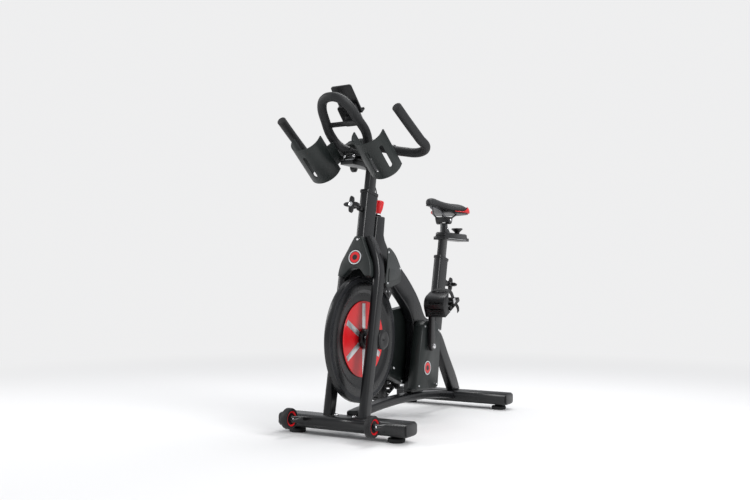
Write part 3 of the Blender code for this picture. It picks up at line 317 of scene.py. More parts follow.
# %% The recipe for a hard surface
def finish(name, dark, light, rough, metallic=0.0, cloud=7.0, grain=700.0, relief=0.12,
           coat=0.0, wear=0.05, stretch=(1.0, 1.0, 1.0)):
    material = bpy.data.materials.new(name)
    material.use_nodes = True
    tree = material.node_tree
    new = tree.nodes.new
    link = tree.links.new
    shader = tree.nodes["Principled BSDF"]
    place = new("ShaderNodeTexCoord")
    scaled = new("ShaderNodeMapping")
    scaled.inputs["Scale"].default_value = stretch
    link(place.outputs["Object"], scaled.inputs["Vector"])
    broad = new("ShaderNodeTexNoise")
    broad.inputs["Scale"].default_value = cloud
    broad.inputs["Detail"].default_value = 5.0
    fine = new("ShaderNodeTexNoise")
    fine.inputs["Scale"].default_value = grain
    fine.inputs["Detail"].default_value = 3.0
    for noise in (broad, fine):
        link(scaled.outputs["Vector"], noise.inputs["Vector"])
    colour = new("ShaderNodeMix")
    colour.data_type = "RGBA"
    colour.inputs[6].default_value = (*dark, 1.0)
    colour.inputs[7].default_value = (*light, 1.0)
    link(broad.outputs["Fac"], colour.inputs[0])
    shape = new("ShaderNodeNewGeometry")
    edge = new("ShaderNodeMapRange")
    edge.inputs["From Min"].default_value = 0.53
    edge.inputs["From Max"].default_value = 0.62
    edge.inputs["To Max"].default_value = wear
    link(shape.outputs["Pointiness"], edge.inputs["Value"])
    rubbed = new("ShaderNodeMix")
    rubbed.data_type = "RGBA"
    rubbed.blend_type = "ADD"
    rubbed.inputs[7].default_value = (*[min(1.0, c * 1.2 + 0.02) for c in light], 1.0)
    link(edge.outputs["Result"], rubbed.inputs[0])
    link(colour.outputs[2], rubbed.inputs[6])
    link(rubbed.outputs[2], shader.inputs["Base Color"])
    gloss = new("ShaderNodeMapRange")
    gloss.inputs["To Min"].default_value = rough[0]
    gloss.inputs["To Max"].default_value = rough[1]
    link(broad.outputs["Fac"], gloss.inputs["Value"])
    link(gloss.outputs["Result"], shader.inputs["Roughness"])
    bump = new("ShaderNodeBump")
    bump.inputs["Strength"].default_value = relief
    bump.inputs["Distance"].default_value = 0.0006
    link(fine.outputs["Fac"], bump.inputs["Height"])
    link(bump.outputs["Normal"], shader.inputs["Normal"])
    shader.inputs["Specular IOR Level"].default_value = 0.42
    shader.inputs["Metallic"].default_value = metallic
    shader.inputs["Coat Weight"].default_value = coat
    shader.inputs["Coat Roughness"].default_value = 0.15
    return material


PAINT = finish("powder_coat", (0.0045, 0.0048, 0.0054), (0.0090, 0.0095, 0.0105),
               (0.22, 0.34), relief=0.08, wear=0.03)
SHROUD = finish("moulded_shroud", (0.0060, 0.0085, 0.0080), (0.0100, 0.0140, 0.0132),
                (0.36, 0.48), grain=1100.0, relief=0.16, wear=0.04)
BLACK = finish("black_nylon", (0.0035, 0.0035, 0.0040), (0.0075, 0.0075, 0.0085),
               (0.26, 0.40), grain=900.0, relief=0.10, wear=0.04)
GRIP = finish("grip_rubber", (0.0060, 0.0066, 0.0074), (0.0115, 0.0122, 0.0135),
              (0.50, 0.64), grain=520.0, relief=0.22, wear=0.0)
TYRE = finish("tyre_rubber", (0.0040, 0.0040, 0.0045), (0.0085, 0.0085, 0.0095),
              (0.55, 0.72), grain=600.0, relief=0.25, wear=0.02)
RED = finish("red_plastic", (0.50, 0.004, 0.008), (0.66, 0.008, 0.013), (0.28, 0.38),
             grain=900.0, relief=0.05, coat=0.20, wear=0.02)
STEEL = finish("bright_steel", (0.62, 0.62, 0.63), (0.80, 0.80, 0.81), (0.18, 0.32),
               metallic=1.0, cloud=40.0, grain=1500.0, relief=0.05, wear=0.0)
IRON = finish("painted_iron", (0.0035, 0.0038, 0.0044), (0.0075, 0.0080, 0.0090),
              (0.20, 0.34), grain=300.0, relief=0.12, wear=0.02)
DARK_STEEL = finish("blackened_steel", (0.10, 0.10, 0.11), (0.20, 0.20, 0.21), (0.22, 0.34),
                    metallic=1.0, cloud=40.0, grain=1500.0, relief=0.05, wear=0.0)
SILVER = finish("silver_print", (0.58, 0.59, 0.60), (0.72, 0.73, 0.74), (0.28, 0.40),
                metallic=0.75, cloud=30.0, grain=1200.0, relief=0.04, wear=0.0)
print(len(bpy.data.materials), "finishes so far")

# %% [markdown]
# The flywheel's rim is turned on a lathe before it is painted, and its outer band is left
# brighter, with rings from the tool. Rings round the axle come from the distance to it.

# %% Turned iron for the rim's band
def turned_metal(name, dark, light, rough, rings=900.0):
    material = finish(name, dark, light, rough, metallic=0.85, wear=0.0, relief=0.04)
    tree = material.node_tree
    new = tree.nodes.new
    link = tree.links.new
    place = new("ShaderNodeTexCoord")
    apart = new("ShaderNodeVectorMath")
    apart.operation = "SUBTRACT"
    apart.inputs[1].default_value = tuple(AXLE)
    link(place.outputs["Object"], apart.inputs[0])
    flat = new("ShaderNodeVectorMath")
    flat.operation = "MULTIPLY"
    flat.inputs[1].default_value = (0.0, 1.0, 1.0)
    link(apart.outputs[0], flat.inputs[0])
    reach = new("ShaderNodeVectorMath")
    reach.operation = "LENGTH"
    link(flat.outputs[0], reach.inputs[0])
    wave = new("ShaderNodeMath")
    wave.operation = "MULTIPLY"
    wave.inputs[1].default_value = rings * math.tau
    link(reach.outputs["Value"], wave.inputs[0])
    ripple = new("ShaderNodeMath")
    ripple.operation = "SINE"
    link(wave.outputs[0], ripple.inputs[0])
    bump = new("ShaderNodeBump")
    bump.inputs["Strength"].default_value = 0.25
    bump.inputs["Distance"].default_value = 0.0002
    link(ripple.outputs[0], bump.inputs["Height"])
    link(bump.outputs["Normal"], tree.nodes["Principled BSDF"].inputs["Normal"])
    return material


BAND = turned_metal("turned_band", (0.020, 0.021, 0.024), (0.032, 0.034, 0.038),
                    (0.30, 0.40))
print("the band has", 900, "rings a metre")

# %% [markdown]
# The saddle has a matte cover with a fine leather-like grain: cells for the pebbles, a
# softer noise for the handling, and a little sheen. It is vinyl, so it isn't very rough.

# %% Saddle cover
def cover(name, dark, light, rough, pebble=520.0):
    material = finish(name, dark, light, rough, cloud=14.0, wear=0.0, relief=0.1)
    tree = material.node_tree
    new = tree.nodes.new
    link = tree.links.new
    shader = tree.nodes["Principled BSDF"]
    place = new("ShaderNodeTexCoord")
    cells = new("ShaderNodeTexVoronoi")
    cells.inputs["Scale"].default_value = pebble
    link(place.outputs["Object"], cells.inputs["Vector"])
    bump = new("ShaderNodeBump")
    bump.inputs["Strength"].default_value = 0.22
    bump.inputs["Distance"].default_value = 0.0005
    link(cells.outputs["Distance"], bump.inputs["Height"])
    link(bump.outputs["Normal"], shader.inputs["Normal"])
    shader.inputs["Sheen Weight"].default_value = 0.04
    return material


VINYL = cover("saddle_vinyl", (0.0060, 0.0064, 0.0072), (0.0110, 0.0116, 0.0130),
              (0.46, 0.60))
RED_VINYL = cover("saddle_red_vinyl", (0.52, 0.010, 0.014), (0.66, 0.018, 0.022),
                  (0.36, 0.46))
print("saddle finishes made")

# %% [markdown]
# ## Fasteners
#
# Every visible screw is the same button-head socket screw at a different size: a low dome
# with a hexagon socket. It is modelled once, one metre wide and facing up, and each use is
# a copy that is scaled, turned to its surface and put in place.

# %% The socket screw
screw = spun("screw_pattern",
             [(0.0, 0.42)] + [(0.5 * math.sin(a), 0.12 + 0.30 * math.cos(a))
                              for a in (0.2, 0.5, 0.8, 1.1, 1.35, 1.57)]
             + [(0.5, 0.0), (0.46, -0.04), (0.0, -0.04)], (0, 0, 0), (0, 0, 1), 32)
socket = slab("screw_socket", [(0.24 * math.cos(math.tau * k / 6),
                                0.24 * math.sin(math.tau * k / 6), 0.18) for k in range(6)],
              (0, 0, 0.5))
cut(screw, socket)
screw.hide_render = True
screws = 0


def screw_at(place, outwards, width, body, material=None):
    """One screw of a head width, standing on a surface."""
    global screws
    screws += 1
    turn = Vector(outwards).normalized().to_track_quat("Z", "Y").to_matrix().to_4x4()
    twin = copied(screw, "screw_%02d" % screws,
                  Matrix.Translation(place) @ turn @ Matrix.Scale(width, 4))
    twin.hide_render = False
    return done(twin, material or STEEL, body)


print("the pattern screw has", len(screw.data.polygons), "faces")

# %% [markdown]
# ## The stabilisers, feet and wheels
#
# The stabilisers are drawn rectangular tube. The model's bars already have their corners
# and the wheel brackets, so copies of them get softened edges. Moulded caps close the
# tube's ends: each is the tube's outline, a little smaller, pushed in from the end.

# %% Stabilisers and their end caps
FRONT_Y, REAR_Y, BAR_Z = -0.1105, 0.7680, 0.0460
for name in ("front_stabilizer", "rear_stabilizer"):
    bar = refined(name, name + "_tube")
    done(bar, PAINT, "frame", name, angle=50)
cap_loop = rounded(0.078, 0.042, 0.012)
for end, y in (("front", FRONT_Y), ("rear", REAR_Y)):
    for side, sign in (("left", 1), ("right", -1)):
        cap = side_slab("%s_bar_cap_%s" % (end, side),
                        [(y + a, BAR_Z + b) for a, b in cap_loop],
                        sign * 0.2582, sign * 0.2650)
        edged(cap, 0.003)
        done(cap, BLACK, "frame")
plate = side_slab("front_bar_plate", [(FRONT_Y - 0.0430, 0.050), (FRONT_Y - 0.0430, 0.061),
                                      (FRONT_Y - 0.0410, 0.061), (FRONT_Y - 0.0410, 0.050)],
                  -0.152, -0.105)
edged(plate, 0.0006, 2)
done(plate, BLACK, "frame")

# %% [markdown]
# A levelling foot is a moulded rubber cup on a threaded stud, spun round its own axis. Its
# rim is ribbed, so that it can be turned by hand.

# %% Levelling feet
for corner in ("front_left", "front_right", "rear_left", "rear_right"):
    node = "leveling_foot_" + corner
    low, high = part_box(node)
    middle = Vector(((low.x + high.x) / 2, (low.y + high.y) / 2, 0.0))
    pad = spun(node + "_pad",
               [(0.0, 0.034), (0.005, 0.034), (0.005, 0.022), (0.0125, 0.0205),
                (0.0145, 0.019), (0.018, 0.0155), (0.0275, 0.0145), (0.0295, 0.0125),
                (0.0300, 0.010), (0.0300, 0.0035), (0.0285, 0.0), (0.0, 0.0)],
               middle, (0, 0, 1), 64)
    done(pad, TYRE, "foot_" + corner, node)
    ribs = []
    for k in range(20):
        angle = math.tau * k / 20
        turn = Matrix.Translation(middle) @ Matrix.Rotation(angle, 4, "Z")
        ribs.append([turn @ Vector(p) for p in
                     ((0.0290, -0.0012, 0.004), (0.0290, 0.0012, 0.004),
                      (0.0290, 0.0012, 0.012), (0.0290, -0.0012, 0.012))])
    points = [p for rib in ribs for p in rib]
    faces = [range(4 * k, 4 * k + 4) for k in range(20)]
    grip = from_points(node + "_ribs", points, faces=faces)
    applied(grip, "SOLIDIFY", thickness=0.0024, offset=0.0)
    closed_up(grip)
    done(grip, TYRE, "foot_" + corner)

# %% [markdown]
# The transport wheels have a black tyre with a rounded tread, a black moulded hub with a red
# ring, and a silver axle bolt. Each part is round, so a profile is drawn once and spun.

# %% Transport wheels
for side, sign in (("left", 1), ("right", -1)):
    node = "transport_wheel_" + side
    low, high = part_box(node)
    middle = (low + high) / 2
    tyre = spun(node + "_tyre",
                [(0.0270, 0.0120), (0.0330, 0.0120), (0.0355, 0.0108), (0.0368, 0.0080),
                 (0.0370, 0.0), (0.0368, -0.0080), (0.0355, -0.0108), (0.0330, -0.0120),
                 (0.0270, -0.0120), (0.0262, 0.0)], middle, (1, 0, 0), 64)
    done(tyre, TYRE, "wheel_" + side, node)
    hub = spun(node + "_hub",
               [(0.0045, 0.0112), (0.0080, 0.0112), (0.0095, 0.0090), (0.0200, 0.0078),
                (0.0240, 0.0104), (0.0268, 0.0104), (0.0260, 0.0), (0.0268, -0.0104),
                (0.0240, -0.0104), (0.0200, -0.0078), (0.0095, -0.0090),
                (0.0080, -0.0112), (0.0045, -0.0112)], middle, (1, 0, 0), 64)
    done(hub, BLACK, "wheel_" + side)
    ring = spun(node + "_ring",
                [(0.0205, 0.0086), (0.0232, 0.0106), (0.0262, 0.0112), (0.0262, -0.0112),
                 (0.0232, -0.0106), (0.0205, -0.0086)], middle, (1, 0, 0), 64)
    done(ring, RED, "wheel_" + side)
    bolt = spun(node + "_bolt",
                [(0.0, 0.0185), (0.0030, 0.0185), (0.0040, 0.0175), (0.0040, -0.0175),
                 (0.0030, -0.0185), (0.0, -0.0185)], middle, (1, 0, 0), 32)
    done(bolt, STEEL, "wheel_" + side)

# %% [markdown]
# ## Frame tubes
#
# The fork's legs are oval tube that runs straight up from the front stabiliser and curves
# in to the head tube. A ring of the tube's outline is set across the leg at each station
# and the rings are skinned. The head tube's own outline is cut out of their tops.

# %% Head tube and seat tube
HEAD_LEAN, SEAT_LEAN = math.radians(10.7), math.radians(12.5)
HEAD_TOP, SEAT_TOP = (0.0500, 0.8640), (0.6510, 0.6380)


def up_tube(top, lean, x, y, z):
    """A place in a leaning tube's own measure: z up the tube from its mouth, y rearwards."""
    return at(x, top[0] + y * math.cos(lean) + z * math.sin(lean),
              top[1] + z * math.cos(lean) - y * math.sin(lean))


def leaning(name, width, depth, radius, top, lean, low, high):
    """A solid tube with a rounded section between two heights along its own length."""
    loop = [up_tube(top, lean, a, b, low) for a, b in rounded(width, depth, radius)]
    rise = up_tube(top, lean, 0, 0, high) - up_tube(top, lean, 0, 0, low)
    return slab(name, loop, rise)


for name, top, lean, length in (("head_tube", HEAD_TOP, HEAD_LEAN, 0.262),
                                ("seat_tube", SEAT_TOP, SEAT_LEAN, 0.300)):
    body = leaning(name + "_outer", 0.034, 0.080, 0.011, top, lean, -length, 0.0)
    cut(body, leaning(name + "_bore", 0.028, 0.074, 0.008, top, lean, -length - 0.01, 0.01))
    facing = -1 if name == "head_tube" else 1
    drop = 0.066 if name == "head_tube" else 0.084
    hole = spun(name + "_hole", [(0.0, 0.02), (0.0078, 0.02), (0.0078, -0.02), (0.0, -0.02)],
                up_tube(top, lean, 0, facing * 0.040, -drop),
                (0, math.cos(lean), -math.sin(lean)), 32)
    cut(body, hole)
    done(body, PAINT, "frame", name)

# %% [markdown]
# The collars are nylon sleeves pressed on the tubes' mouths, with a lip and a wiper that
# the post slides in. A soft bevel catches the light all round their upper edge.

# %% Collars
for name, top, lean in (("head_tube_collar", HEAD_TOP, HEAD_LEAN),
                        ("seat_tube_collar", SEAT_TOP, SEAT_LEAN)):
    body = leaning(name + "_sleeve", 0.040, 0.086, 0.014, top, lean, 0.0003, 0.0126)
    edged(body, 0.003, 4)
    cut(body, leaning(name + "_bore", 0.0275, 0.0545, 0.009, top, lean, -0.01, 0.03))
    done(body, BLACK, "frame", name)

# %% [markdown]
# Each fork leg runs up the fork's sloping plane and bends inwards at the top. Its first ring
# is laid flat, so that the leg stands squarely on the stabiliser. A round housing for the
# axle is joined to it, and a cap and a screw close the housing.

# %% Fork legs
FORK_LEAN = math.radians(11.5)
leg_line = smooth([(0.0733, 0.0706), (0.0733, 0.220), (0.0733, 0.400), (0.0733, 0.520),
                   (0.0715, 0.575), (0.0590, 0.625), (0.0390, 0.665), (0.0180, 0.700)], 6)
LEG_LOOP = rounded(0.032, 0.050, 0.0135, 6)


def on_leg(x, z, out=0.0):
    """A place on the fork's sloping plane, out towards the front of the bike."""
    y = -0.104 + (z - 0.0703) * math.tan(FORK_LEAN)
    return at(x, y - out * math.cos(FORK_LEAN), z + out * math.sin(FORK_LEAN))


for side, sign in (("left", 1), ("right", -1)):
    centres = [on_leg(sign * x, z) for x, z in leg_line]
    rings = []
    for index, centre in enumerate(centres):
        before = centres[max(index - 1, 0)]
        after = centres[min(index + 1, len(centres) - 1)]
        fore = Vector((0.0, -math.cos(FORK_LEAN), math.sin(FORK_LEAN)))
        across = (after - before).normalized().cross(fore).normalized()
        if index == 0:
            across = Vector((1.0, 0.0, 0.0))
        ring = [centre + across * a + fore * b for a, b in LEG_LOOP]
        if index == 0:
            ring = [Vector((p.x, p.y, 0.0706)) for p in ring]
        rings.append(ring)
    leg = skinned("fork_leg_%s_tube" % side, rings)
    cut(leg, leaning("leg_cut", 0.0346, 0.0806, 0.011, HEAD_TOP, HEAD_LEAN, -0.2625, 0.01))
    bore = spun("axle_bore", [(0.0, 0.06), (0.0064, 0.06), (0.0064, -0.06), (0.0, -0.06)],
                at(sign * 0.060, 0.0, AXLE.z), (1, 0, 0), 32)
    housing = spun("axle_housing",
                   [(0.0, 0.0150), (0.0330, 0.0150), (0.0355, 0.0125), (0.0355, -0.0125),
                    (0.0330, -0.0150), (0.0, -0.0150)],
                   at(sign * 0.0735, 0.0, AXLE.z), (1, 0, 0), 72)
    joined(leg, housing)
    cut(leg, bore)
    done(leg, PAINT, "frame", "fork_leg_" + side)
    cap = spun("axle_cap_" + side,
               [(0.0, 0.0050), (0.0040, 0.0050), (0.0055, 0.0034), (0.0240, 0.0058),
                (0.0320, 0.0052), (0.0352, 0.0026), (0.0355, 0.0), (0.0, 0.0)],
               at(sign * 0.0887, 0.0, AXLE.z), (sign, 0, 0), 72)
    done(cap, BLACK, "frame")
    screw_at(at(sign * 0.0928, 0.0, AXLE.z), (sign, 0, 0), 0.009, "frame", BLACK)

# %% [markdown]
# The main beam is one fabricated box: it leaves the head tube, dips to the bottom bracket
# and stands on the base beam as a column. Its outline is a smooth line through its corner
# points, extruded across and generously rounded.

# %% Main beam
BOTTOM = (0.403, 0.286)


def base_top(y):
    middle, half = 0.26790, 0.45760
    return 0.1010 - 0.0350 * abs((y - middle) / half) ** 2.0


low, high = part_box("base_beam")
print("base beam reaches", [round(v, 4) for v in (low.y - AXLE.y, high.y - AXLE.y, high.z)])
upper = smooth([(0.1350, 0.7000), (0.1750, 0.6540), (0.2400, 0.6120), (0.3200, 0.5560),
                (0.3850, 0.5000), (0.4250, 0.4550), (0.4480, 0.4200), (0.4720, 0.3970),
                (0.5150, 0.3850), (0.5495, 0.3800)], 5)
lower = smooth([(0.3580, 0.2000), (0.3650, 0.3000), (0.3660, 0.3600), (0.3500, 0.4050),
                (0.3040, 0.4510), (0.2500, 0.4920), (0.2080, 0.5230), (0.1500, 0.5620),
                (0.1000, 0.5900), (0.0440, 0.6120)], 5)
foot = [(0.448 - 0.103 * k / 6, base_top(0.448 - 0.103 * k / 6) + 0.0007)
        for k in range(7)]
heel = smooth([(0.5410, 0.3350), (0.5270, 0.2980), (0.4880, 0.2600), (0.4620, 0.2000)], 5)
loop = [(0.0780, 0.7880), (0.1380, 0.7880), (0.1320, 0.7450), (0.1285, 0.7180)]
loop += [tuple(p) for p in upper] + [tuple(p) for p in heel] + foot
loop += [tuple(p) for p in lower]
beam = side_slab("main_beam_shell", loop, -0.020, 0.020)
edged(beam, 0.008, 4, 50)
cut(beam, leaning("beam_head_cut", 0.06, 0.0812, 0.011, HEAD_TOP, HEAD_LEAN, -0.30, 0.02))
cut(beam, leaning("beam_seat_cut", 0.06, 0.0806, 0.011, SEAT_TOP, SEAT_LEAN, -0.3003, 0.02))
bracket_shell = spun("bottom_bracket_shell",
                     [(0.0, 0.028), (0.0225, 0.028), (0.024, 0.0265), (0.024, -0.0265),
                      (0.0225, -0.028), (0.0, -0.028)], at(0, *BOTTOM), (1, 0, 0), 64)
joined(beam, bracket_shell)
cut(beam, spun("bracket_bore", [(0.0, 0.1), (0.0115, 0.1), (0.0115, -0.1), (0.0, -0.1)],
               at(0, *BOTTOM), (1, 0, 0), 48))
cut(beam, spun("brake_bore", [(0.0, 0.03), (0.0062, 0.03), (0.0062, -0.03), (0.0, -0.03)],
               at(0, 0.116, 0.788), (0, math.sin(HEAD_LEAN), math.cos(HEAD_LEAN)), 32))
done(beam, PAINT, "frame", "main_beam")

# %% [markdown]
# The rear leg and the base beam are the same kind of tube. The base beam is a long low
# arch with a shallow groove rolled along each side, which is cut with a thin copy of the
# arch that is pushed a millimetre into the side.

# %% Rear leg and base beam
leg_back = smooth([(0.6150, 0.3280), (0.6400, 0.3000), (0.6900, 0.2300), (0.7600, 0.1400),
                   (0.8030, 0.0703)], 5)
leg_front = smooth([(0.7330, 0.0703), (0.7050, 0.1100), (0.6560, 0.1800), (0.6000, 0.2600),
                    (0.5620, 0.3050), (0.5475, 0.3420)], 5)
rear = side_slab("rear_leg_tube", [tuple(p) for p in leg_back + leg_front], -0.017, 0.017)
edged(rear, 0.007, 4, 50)
cut(rear, leaning("leg_seat_cut", 0.06, 0.0806, 0.011, SEAT_TOP, SEAT_LEAN, -0.3003, 0.02))
done(rear, PAINT, "frame", "rear_leg")

start, stop = -0.0682, 0.7257
arch = [(start + (stop - start) * k / 48, 0.0) for k in range(49)]
top_line = [(y, base_top(y)) for y, z in arch]
base = side_slab("base_beam_tube",
                 top_line + [(y, z - 0.030) for y, z in reversed(top_line)], -0.025, 0.025)
edged(base, 0.007, 4, 50)
for sign in (1, -1):
    groove = [(y, z - 0.0135) for y, z in top_line[2:-2]]
    groove += [(y, z - 0.0165) for y, z in reversed(top_line[2:-2])]
    cut(base, side_slab("groove", groove, sign * 0.0238, sign * 0.03))
done(base, PAINT, "frame", "base_beam")
for x, y in ((-0.041, -0.107), (0.038, -0.112), (0.0, 0.790)):
    screw_at(at(x, y, 0.0702), (0, 0, 1), 0.016, "frame")

# %% [markdown]
# ## Shrouds and covers
#
# The front shroud is a moulded arch on the fork legs. It is thick and very round at its
# edges, so its outline is extruded and given a wide bevel. Its round badge is generic: a
# dark plate with a dark boss in its middle, a red ring round that, and a silver ring.

# %% Front shroud
shroud_half = smooth([(0.014, 0.698), (0.026, 0.675), (0.040, 0.645), (0.060, 0.605),
                      (0.067, 0.575), (0.069, 0.552)], 4)
shroud_arch = smooth([(0.046, 0.551), (0.034, 0.565), (0.020, 0.578), (0.0, 0.583)], 4)
half = [(0.0, 0.700)] + [tuple(p) for p in shroud_half] + [tuple(p) for p in shroud_arch]
shape = half + [(-x, z) for x, z in reversed(half[1:-1])]
BACK, FRONT = 0.0265, 0.0540
fork_nose = Vector((0.0, -math.cos(FORK_LEAN), math.sin(FORK_LEAN)))


def on_shroud(x, z, out):
    """A place in front of the fork's plane; z is the height on the plane itself."""
    return on_leg(x, z) + fork_nose * out


cap = slab("front_shroud", [on_shroud(x, z, BACK) for x, z in shape],
           fork_nose * (FRONT - BACK))
edged(cap, 0.0085, 5, 50)
cut(cap, leaning("shroud_cut", 0.0346, 0.0806, 0.011, HEAD_TOP, HEAD_LEAN, -0.2625, 0.01))
done(cap, SHROUD, "frame", "fork_shroud")

RINGS = [(0.0, 0.0016), (0.010, 0.0016), (0.0104, 0.0006), (0.0286, 0.0006),
         (0.0300, -0.0010), (0.0300, -0.0030), (0.0, -0.0030)]


def badge(name, centre, outwards, size):
    """A round badge: a dark plate, a silver ring, and a red ring round its boss."""
    centre = Vector(centre)
    outwards = Vector(outwards).normalized()
    plate = spun(name + "_plate", [(r * size, h) for r, h in RINGS], centre, outwards, 64)
    done(plate, BLACK, "frame")
    for number, (inner, outer, paint) in enumerate(((0.0225, 0.0262, SILVER),
                                                    (0.0, 0.0200, RED))):
        ring = spun("%s_ring_%d" % (name, number + 1),
                    [(inner * size, 0.0004), (outer * size, 0.0004),
                     (outer * size, 0.0012), (inner * size, 0.0012)],
                    centre, outwards, 64)
        done(ring, paint, "frame")


badge("shroud_badge", on_shroud(-0.002, 0.6200, FRONT + 0.0008), fork_nose, 1.0)
screw_at(on_shroud(0.0, 0.6850, FRONT - 0.0006), fork_nose, 0.009, "frame")

# %% [markdown]
# Each side panel is a thin moulding between the fork leg and the main beam. Its outline is
# a smooth loop, turned to follow the leg's inward lean, and a raised facet stiffens it.

# %% Side panels
PANEL_LOOP = [(0.022, 0.524), (0.190, 0.534), (0.238, 0.545), (0.252, 0.562),
              (0.244, 0.592), (0.226, 0.608), (0.170, 0.640), (0.110, 0.660),
              (0.060, 0.668), (0.046, 0.650), (0.036, 0.600)]
TURN = math.radians(16.0)


def on_panel(sign, y, z, out):
    """A place on a side panel: out from its middle, away from the beam."""
    return at(sign * (0.0955 - y * math.tan(TURN) + out * math.cos(TURN)),
              y + out * math.sin(TURN), z)


for side, sign in (("left", 1), ("right", -1)):
    loop = [on_panel(sign, y, z, -0.0019) for y, z in smooth(PANEL_LOOP, 4, True)]
    outwards = Vector((sign * math.cos(TURN), math.sin(TURN), 0.0))
    panel = slab("side_panel_%s_shell" % side, loop, outwards * 0.0038)
    edged(panel, 0.0014, 3, 50)
    done(panel, SHROUD, "frame", "side_panel_" + side)
    facet = [(0.042, 0.540), (0.150, 0.548), (0.205, 0.566), (0.140, 0.588),
             (0.060, 0.592)]
    raised = slab("side_panel_%s_facet" % side,
                  [on_panel(sign, y, z, 0.0015) for y, z in facet], outwards * 0.0042)
    edged(raised, 0.0024, 3, 30)
    done(raised, SHROUD, "frame")
    for y, z in ((0.052, 0.650), (0.230, 0.592), (0.036, 0.537)):
        screw_at(on_panel(sign, y, z, 0.0018), outwards, 0.008, "frame", SILVER)

# %% [markdown]
# The belt guard is a deep cup with a flat outer face, and a thin plate closes it. Both have
# holes for the crank's spindle and the flywheel's axle, so merged copies of the model's
# solids are used, and the cup's edges are rounded.

# %% Belt guard and left cover
guard = refined("belt_cover_outer", "belt_guard_cup")
edged(guard, 0.0011, 2, 60)
done(guard, SHROUD, "frame", "belt_cover_outer")
done(refined("belt_cover_inner", "belt_guard_plate"), SHROUD, "frame", "belt_cover_inner")
done(refined("left_cover", "left_cover_shell"), SHROUD, "frame", "left_cover")
badge("cover_badge", at(0.0668, 0.390, 0.200), (1, 0, 0), 1.05)
for y, z in ((0.318, 0.135), (0.472, 0.128), (0.492, 0.345), (0.374, 0.366)):
    screw_at(at(0.0660, y, z), (1, 0, 0), 0.008, "frame", SILVER)
for y, z in ((0.268, 0.205), (0.530, 0.345), (0.330, 0.148)):
    screw_at(at(-0.0186, y, z), (1, 0, 0), 0.009, "frame", SILVER)
GUARD_SCREWS = 0.142
for angle in (20, 80, 140, 200, 260, 320):
    place = at(-0.0562, BOTTOM[0] + GUARD_SCREWS * math.cos(math.radians(angle)),
               BOTTOM[1] + GUARD_SCREWS * math.sin(math.radians(angle)))
    screw_at(place, (-1, 0, 0), 0.008, "frame", SILVER)
dish = spun("guard_dish", [(0.100, 0.0), (0.112, 0.0), (0.1105, 0.0022), (0.1015, 0.0022)],
            at(-0.0558, *BOTTOM), (-1, 0, 0), 96)
done(dish, SHROUD, "frame")

# %% [markdown]
# ## Flywheel
#
# The wheel is one casting: a heavy rim, a thin web and a hub, turned and painted. It is spun
# from a profile with small radii. The rim's face keeps a band of turned iron. A red disc
# covers the web, with six plain silver bars of one width printed on thin foil, and a black
# cap covers the hub.

# %% Flywheel
rim = spun("flywheel_casting",
           [(0.0075, 0.016), (0.0295, 0.016), (0.0310, 0.0145), (0.0312, 0.005),
            (0.166, 0.005), (0.172, 0.007), (0.178, 0.0112), (0.182, 0.0120),
            (0.2262, 0.0120), (0.2290, 0.0106), (0.2300, 0.0080), (0.2300, -0.0080),
            (0.2290, -0.0106), (0.2262, -0.0120), (0.182, -0.0120), (0.178, -0.0112),
            (0.172, -0.007), (0.166, -0.005), (0.031, -0.005), (0.031, -0.0175),
            (0.0075, -0.0175)], AXLE, (1, 0, 0), 160)
done(rim, IRON, "flywheel", "flywheel")
for side, sign in (("left", 1), ("right", -1)):
    band = spun("rim_band_" + side,
                [(0.2085, 0.0118), (0.2090, 0.0124), (0.2230, 0.0124), (0.2235, 0.0118)],
                AXLE, (sign, 0, 0), 160)
    done(band, BAND, "flywheel")
disc = spun("red_disc", [(0.0310, 0.0053), (0.1350, 0.0053), (0.1378, 0.0062),
                         (0.1380, 0.0080), (0.1365, 0.0090), (0.1300, 0.0084),
                         (0.0310, 0.0084)], AXLE, (1, 0, 0), 128)
done(disc, RED, "flywheel", "flywheel_disc")
spoke = [(0.0105, 0.1290), (-0.0105, 0.1290), (-0.0105, 0.0380), (0.0105, 0.0380)]
first = slab("spoke_1", [AXLE + Vector((0.0082, a, b)) for a, b in spoke],
             (0.0011, 0.0, 0.0))
edged(first, 0.0003, 2)
for k in range(1, 6):
    turn = (Matrix.Translation(AXLE) @ Matrix.Rotation(math.tau * k / 6, 4, "X")
            @ Matrix.Translation(-AXLE))
    done(copied(first, "spoke_%d" % (k + 1), turn), SILVER, "flywheel")
done(first, SILVER, "flywheel")
hub_cap = spun("hub_cap", [(0.0076, 0.0272), (0.0200, 0.0280), (0.0305, 0.0272),
                           (0.0350, 0.0250), (0.0368, 0.0220), (0.0370, 0.0100),
                           (0.0365, 0.0088), (0.0316, 0.0088), (0.0316, 0.0163),
                           (0.0076, 0.0163)], AXLE, (1, 0, 0), 96)
done(hub_cap, BLACK, "flywheel", "flywheel_hub_cap")
for k in range(5):
    angle = math.tau * k / 5
    place = AXLE + Vector((0.0272, 0.024 * math.sin(angle), 0.024 * math.cos(angle)))
    screw_at(place, (1, 0, 0), 0.006, "flywheel")

# %% [markdown]
# The axle runs through both fork legs. The small pulley on the wheel's right is turned
# steel with a flange, and its grooves carry the ribs of the belt.

